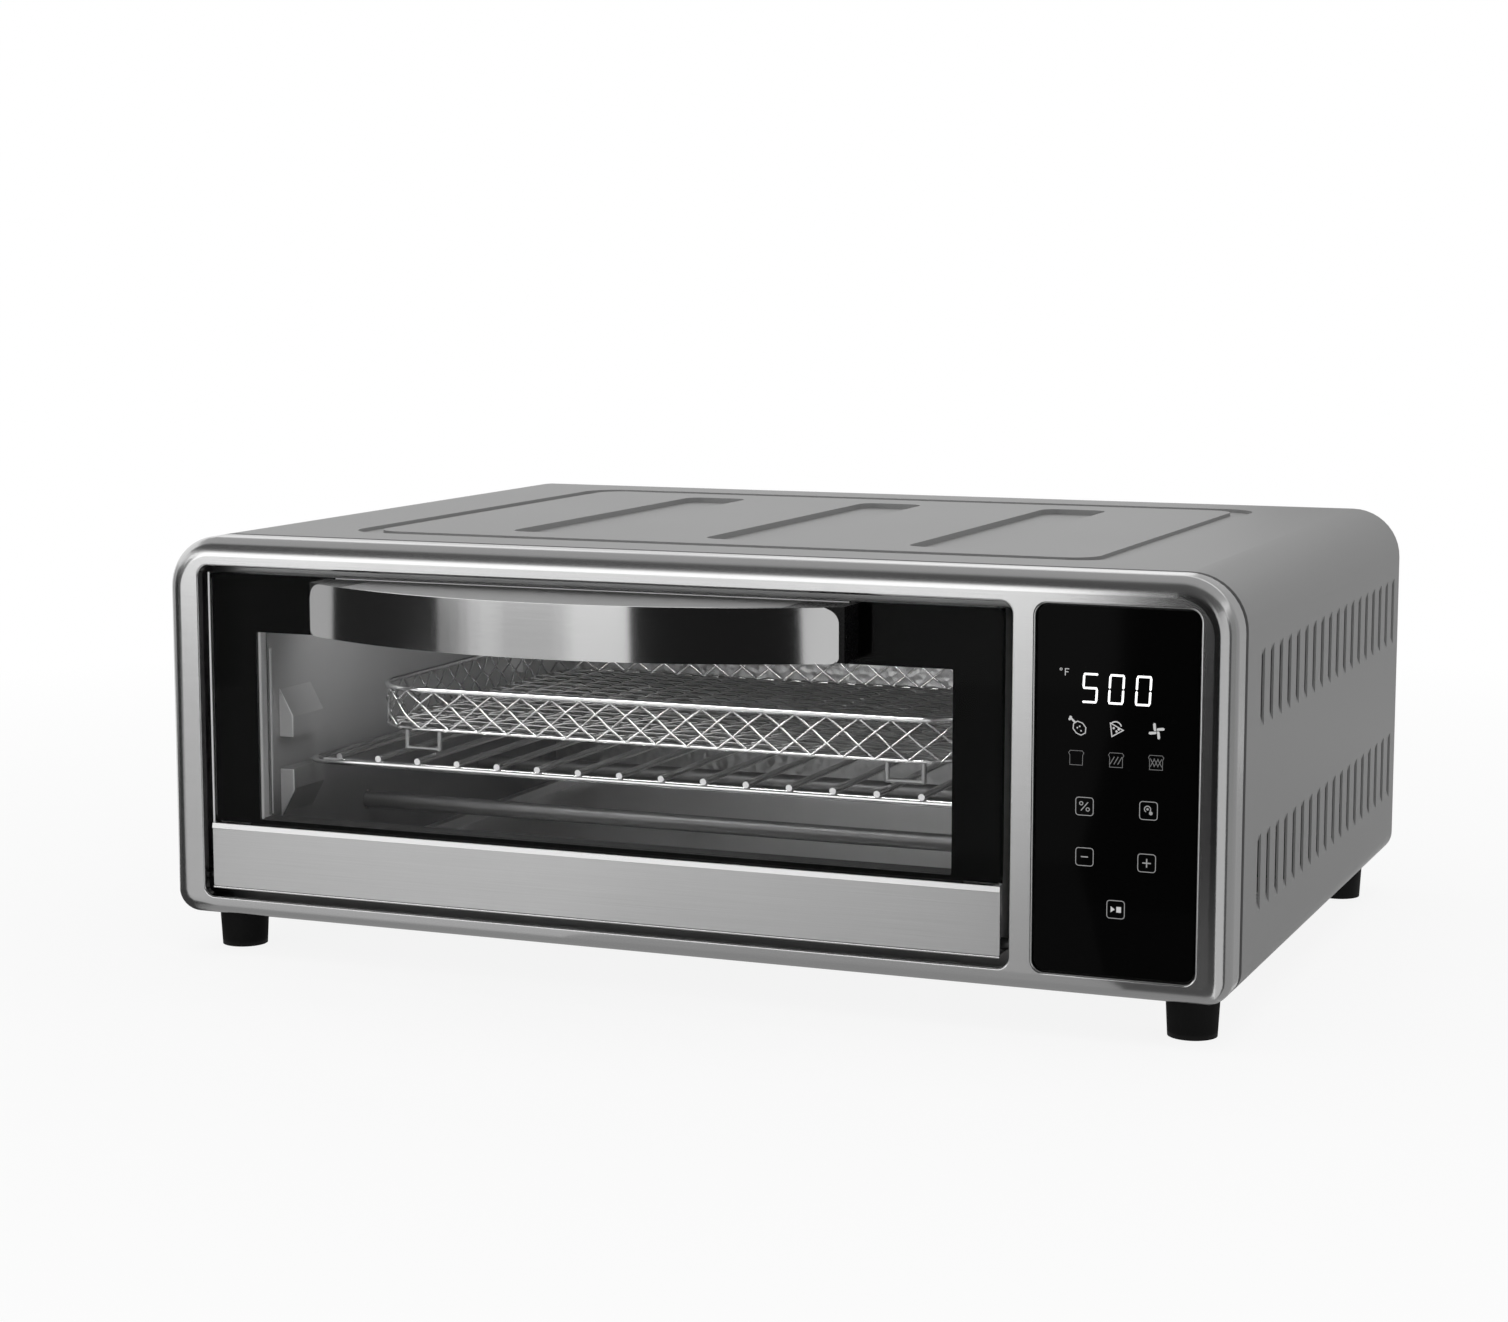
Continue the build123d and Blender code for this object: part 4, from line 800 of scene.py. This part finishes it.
def pane_highlights():
    """Painted highlights: white lines along the edges of the pane, the window and the handle's roof."""
    edge = [(GLASS_LOW.x + 0.0005, GLASS_LOW.y + 0.0003, z) for z in (GLASS_LOW.z, GLASS_HIGH.z)]
    wires("pane_edge_trim", [edge], 0.0005, painted_highlight, "door")
    side = [(WINDOW_LEFT + 0.0004, SILL_FRONT + 0.0005, z) for z in (WINDOW_SILL, WINDOW_LINTEL)]
    wires("window_side_trim", [side], 0.0008, painted_highlight, "door")
    low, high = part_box("handle_core")
    short = 0.004
    rear = [(x, GLASS_LOW.y - 0.0003, high.z) for x in (low.x + short, high.x - short)]
    wires("roof_rear_trim", [rear], 0.0004, painted_highlight, "door")


def guide_highlights():
    """Painted highlights: white faces and edges on the rack guides, and a white line at the mouth of the left
    wall.
    """
    low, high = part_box("cavity_left_wall")
    rack_low, rack_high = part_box("wire_rack")
    tip, wall, front = high.x - 0.0003, high.x - 0.0066, low.y + 0.0089
    straight, tall, half_face = 0.0095, 0.0215, 0.0001
    for guide, start, way in (("upper", rack_high.z + 0.0093, 1), ("lower", rack_low.z - 0.0009, -1)):
        outline = [(wall, front, start), (tip, front, start), (tip, front, start + way * straight),
                   (wall, front, start + way * tall)]
        wires(guide + "_guide_trim", [outline], 0.0006, painted_highlight, "case", closed=True)
        near, far = ([(x, y, z) for x, _, z in outline] for y in (front - half_face, front + half_face))
        prism(guide + "_guide_face", near, far, painted_highlight, "case")
    mouth = [(high.x - 0.0071, low.y + 0.0014, z) for z in (WINDOW_SILL, WINDOW_LINTEL - 0.0095)]
    wires("mouth_trim", [mouth], 0.0011, painted_highlight, "case")


def seam_seal():
    """Painted shadow: a dark ring round the case in the seam between the front frame and the wrap, standing
    in for the seam's shade.
    """
    low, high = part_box("wrap_cover")
    seam = (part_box("front_frame")[1].y + low.y) / 2
    radius, inset, upper, lower = 0.0004, 0.00045, 0.024, 0.011
    corners = ((high.x - upper, high.z - upper, upper), (low.x + upper, high.z - upper, upper),
               (low.x + lower, low.z + lower, lower), (high.x - lower, low.z + lower, lower))
    path = []
    for quarter, (x, z, corner) in enumerate(corners):
        path += [(px, seam, pz) for px, pz in arc(x, z, corner - inset, 90 * quarter, 90, 8)]
    wires("seam_seal", [path], radius, seal_and_painted_shade, "case", closed=True)


window_border()
sill_seal()
strip_trims()
pane_highlights()
guide_highlights()
seam_seal()


# Studio

HANDLE = (-0.04, -0.19)
CORNER = (0.25, -0.15)
CARD_FOOT = 0.003
FLOOR_CARD_LEVEL = 0.002
FLOOR_REACH = 7
CEILING = 1.7
STANDING_DISTANCE = 0.95
# Upright cards round the handle: the turn where each starts, its tone and its height
STANDING_CARDS = (
    (-110, 0.45, 0.3), (-83, 0.018, 0.3),
    (-50.4, 0.22, 0.1), (-47, 0.27, 0.1), (-44.5, 0.40, 0.1), (-42, 0.55, 0.1), (-39, 0.63, 0.1),
    (-35, 0.58, 0.1), (-33, 0.49, 0.1), (-20, 0.55, 0.1), (-17.5, 0.66, 0.1), (-15.5, 0.78, 0.1),
    (-1.6, 0.012, 0.55), (37.8, 0.66, 0.4), (78, 0.08, 0.4),
    (88, 0.3, 0.5), (112, 0.36, 0.5), (135, 0.42, 0.5), (158, 0.44, 0.5), (175, 0.44, 0.5),
)
# Floor cards that spread from the right front corner: the turn where each starts and its tone
WEDGE_REACH = 0.75
WEDGES = ((24, 0.66), (70, 0.08), (84, 0.36), (178, 0.36))


def camera():
    """The photograph's view."""
    data = bpy.data.cameras.new("camera")
    data.sensor_fit = "HORIZONTAL"
    data.sensor_width = 36.0
    data.lens = 72.52
    view = bpy.data.objects.new("camera", data)
    view.location = (0.5263, -1.3391, 0.3225)
    view.rotation_euler = (math.radians(82.377), 0, math.radians(22.211))
    bpy.context.collection.objects.link(view)
    bpy.context.scene.camera = view


def seen_directly(tree):
    """1 for rays from the camera or off gloss and glass, else 0."""
    path = add(tree, "ShaderNodeLightPath")
    first = add(tree, "ShaderNodeMath", operation="MAXIMUM")
    tree.links.new(path.outputs["Is Camera Ray"], first.inputs[0])
    tree.links.new(path.outputs["Is Glossy Ray"], first.inputs[1])
    both = add(tree, "ShaderNodeMath", operation="MAXIMUM")
    tree.links.new(first.outputs["Value"], both.inputs[0])
    tree.links.new(path.outputs["Is Transmission Ray"], both.inputs[1])
    return both.outputs["Value"]


def surroundings(strength):
    """White room: plain white where it is seen, softer as light."""
    world = bpy.data.worlds.new("white_room")
    bpy.context.scene.world = world
    world.use_nodes = True
    tree = world.node_tree
    light = tree.nodes["Background"]
    light.inputs["Color"].default_value = grey(1)
    level = add(tree, "ShaderNodeMapRange", sockets={"To Min": strength, "To Max": 1.0})
    tree.links.new(seen_directly(tree), level.inputs["Value"])
    tree.links.new(level.outputs["Result"], light.inputs["Strength"])


def flat_piece(name, points, material):
    """A flat stage piece through some points."""
    bm = bmesh.new()
    bm.faces.new([bm.verts.new(place) for place in points])
    piece = mesh_piece(name, bm, material)
    return piece


def make_pale_floor():
    """Floor finish that keeps a faint shadow near the oven, runs out to white and is clear from below."""
    material = bpy.data.materials.new("pale_floor")
    material.use_nodes = True
    tree = material.node_tree
    surface = tree.nodes["Principled BSDF"]
    surface.inputs["Roughness"].default_value = 0.9
    surface.inputs["Specular IOR Level"].default_value = 0.0
    tone = add(tree, "ShaderNodeTexNoise", sockets={"Scale": 3.0})
    shade = add(tree, "ShaderNodeMapRange", sockets={"To Min": 0.84, "To Max": 0.88})
    tree.links.new(tone.outputs["Fac"], shade.inputs["Value"])
    tree.links.new(shade.outputs["Result"], surface.inputs["Base Color"])
    where = add(tree, "ShaderNodeTexCoord")
    away = add(tree, "ShaderNodeVectorMath", operation="LENGTH")
    tree.links.new(where.outputs["Object"], away.inputs[0])
    run_out = add(tree, "ShaderNodeMapRange",
                  sockets={"From Min": 0.35, "From Max": 1.1, "To Min": 0.88, "To Max": 1.0})
    tree.links.new(away.outputs["Value"], run_out.inputs["Value"])
    share = add(tree, "ShaderNodeMath", operation="MULTIPLY")
    tree.links.new(run_out.outputs["Result"], share.inputs[0])
    tree.links.new(seen_directly(tree), share.inputs[1])
    white = add(tree, "ShaderNodeEmission", sockets={"Strength": 1.0})
    either = add(tree, "ShaderNodeMixShader")
    tree.links.new(share.outputs["Value"], either.inputs["Fac"])
    tree.links.new(surface.outputs["BSDF"], either.inputs[1])
    tree.links.new(white.outputs["Emission"], either.inputs[2])
    side = add(tree, "ShaderNodeNewGeometry")
    clear = add(tree, "ShaderNodeBsdfTransparent")
    one_way = add(tree, "ShaderNodeMixShader")
    tree.links.new(side.outputs["Backfacing"], one_way.inputs["Fac"])
    tree.links.new(either.outputs["Shader"], one_way.inputs[1])
    tree.links.new(clear.outputs["BSDF"], one_way.inputs[2])
    tree.links.new(one_way.outputs["Shader"], tree.nodes["Material Output"].inputs["Surface"])
    return material


def floor():
    """Wide level floor below the feet."""
    far = FLOOR_REACH
    flat_piece("floor", [(-far, -far, 0), (far, -far, 0), (far, far, 0), (-far, far, 0)], make_pale_floor())


def lamp(name, place, target, size, power, mirrored=True):
    """Soft rectangular lamp aimed at a point, which reflections see only where it is mirrored."""
    data = bpy.data.lights.new(name, "AREA")
    data.shape = "RECTANGLE"
    data.size, data.size_y = size
    data.energy = power
    light = bpy.data.objects.new(name, data)
    light.visible_camera = False
    light.visible_glossy = mirrored
    light.location = place
    light.rotation_euler = (Vector(target) - Vector(place)).to_track_quat("-Z", "Y").to_euler()
    bpy.context.collection.objects.link(light)


def card(name, tone, points):
    """Studio card that only reflections see."""
    material = bpy.data.materials.new(name)
    material.use_nodes = True
    tree = material.node_tree
    glow = add(tree, "ShaderNodeEmission", sockets={"Color": grey(tone), "Strength": 1.0})
    tree.links.new(glow.outputs["Emission"], tree.nodes["Material Output"].inputs["Surface"])
    piece = flat_piece(name, points, material)
    piece.visible_camera = False
    piece.visible_diffuse = False
    piece.visible_shadow = False
    piece.visible_transmission = False


def spot(turn, distance, height, centre=HANDLE):
    """A place round a centre: turn 0 is straight in front, positive to the right."""
    angle = math.radians(turn)
    return (centre[0] + distance * math.sin(angle), centre[1] - distance * math.cos(angle), height)


def lamps():
    """Light from above, from the left front and from the right, and the glow inside the oven."""
    left_front, level = -31, 0.33
    lamp("top_lamp", place=(0, -0.1, 1.5), target=(0, 0, 0.1), size=(2.0, 1.4), power=10.5, mirrored=False)
    lamp("front_lamp", place=spot(left_front, 1.3, level), target=spot(left_front, 0, level),
         size=(1.41, 0.5), power=2.2)
    lamp("right_lamp", place=spot(105, 1.7, 0.6), target=(0.2, 0.03, 0.1), size=(0.45, 1.2), power=3.9,
         mirrored=False)
    lamp("oven_lamp", place=(-0.04, -0.11, 0.168), target=(-0.04, 0.1, 0.05), size=(0.28, 0.02), power=0.24)


def standing_cards():
    """Upright cards, each from its own turn to the next one's."""
    for (start, tone, top), (end, _, _) in zip(STANDING_CARDS, STANDING_CARDS[1:]):
        sides = ((start, CARD_FOOT), (end, CARD_FOOT), (end, top), (start, top))
        card("standing_card", tone, [spot(turn, STANDING_DISTANCE, height) for turn, height in sides])


def floor_card(tone, points):
    """A card lying on the floor."""
    card("floor_card", tone, [(x, y, FLOOR_CARD_LEVEL) for x, y in points])


def floor_cards():
    """Cards below the case and in front of it, which share their corners."""
    front, rear, side = -0.165, 0.15, 0.25
    left_near, left_far = (-0.243, front), (-0.862, -0.693)
    door_near, door_far = (-0.06, front), (-0.06, -0.5)
    panel_near, panel_far = (0.2, front), (0.121, -0.4)
    corner_near, corner_far = (side, front), (0.354, -0.4)
    middle_far, front_far = (0.087, -0.5), (-0.067, -1.14)
    floor_card(0.34, [(-side, front), (side, front), (side, rear), (-side, rear)])
    floor_card(0.56, [left_near, left_far, (-0.72, -0.86), (-0.5, -1.02), (-0.3, -1.10), front_far,
                      middle_far, door_far, door_near])
    floor_card(0.38, [door_near, door_far, middle_far, panel_near])
    floor_card(0.06, [left_near, left_far, (-0.976, -0.3), (-0.976, -0.025), (-side, -0.1)])
    floor_card(0.1, [panel_near, panel_far, corner_far, corner_near])
    floor_card(0.01, [panel_far, middle_far, front_far, (0.25, -1.1), (0.54, -0.94), (0.42, -0.55),
                      corner_far])


def floor_wedges():
    """Cards on the floor that spread from the right front corner, each to the next one's turn."""
    for (start, tone), (end, _) in zip(WEDGES, WEDGES[1:]):
        steps = max(1, round((end - start) / 15))
        rim = [spot(start + (end - start) * i / steps, WEDGE_REACH, 0, CORNER)[:2] for i in range(steps + 1)]
        floor_card(tone, [CORNER] + rim)


def ceiling_card(name, tone, side, front, rear):
    """A level card above the oven."""
    corners = ((-side, front), (side, front), (side, rear), (-side, rear))
    card(name, tone, [(x, y, CEILING) for x, y in corners])


camera()
surroundings(0.36)
floor()
lamps()
standing_cards()
floor_cards()
floor_wedges()
ceiling_card("ceiling_front_card", 0.10, side=3, front=-4, rear=-0.5)
ceiling_card("ceiling_rear_card", 0.45, side=2, front=-0.5, rear=2.5)

scene = bpy.context.scene
scene.view_settings.view_transform = "Standard"
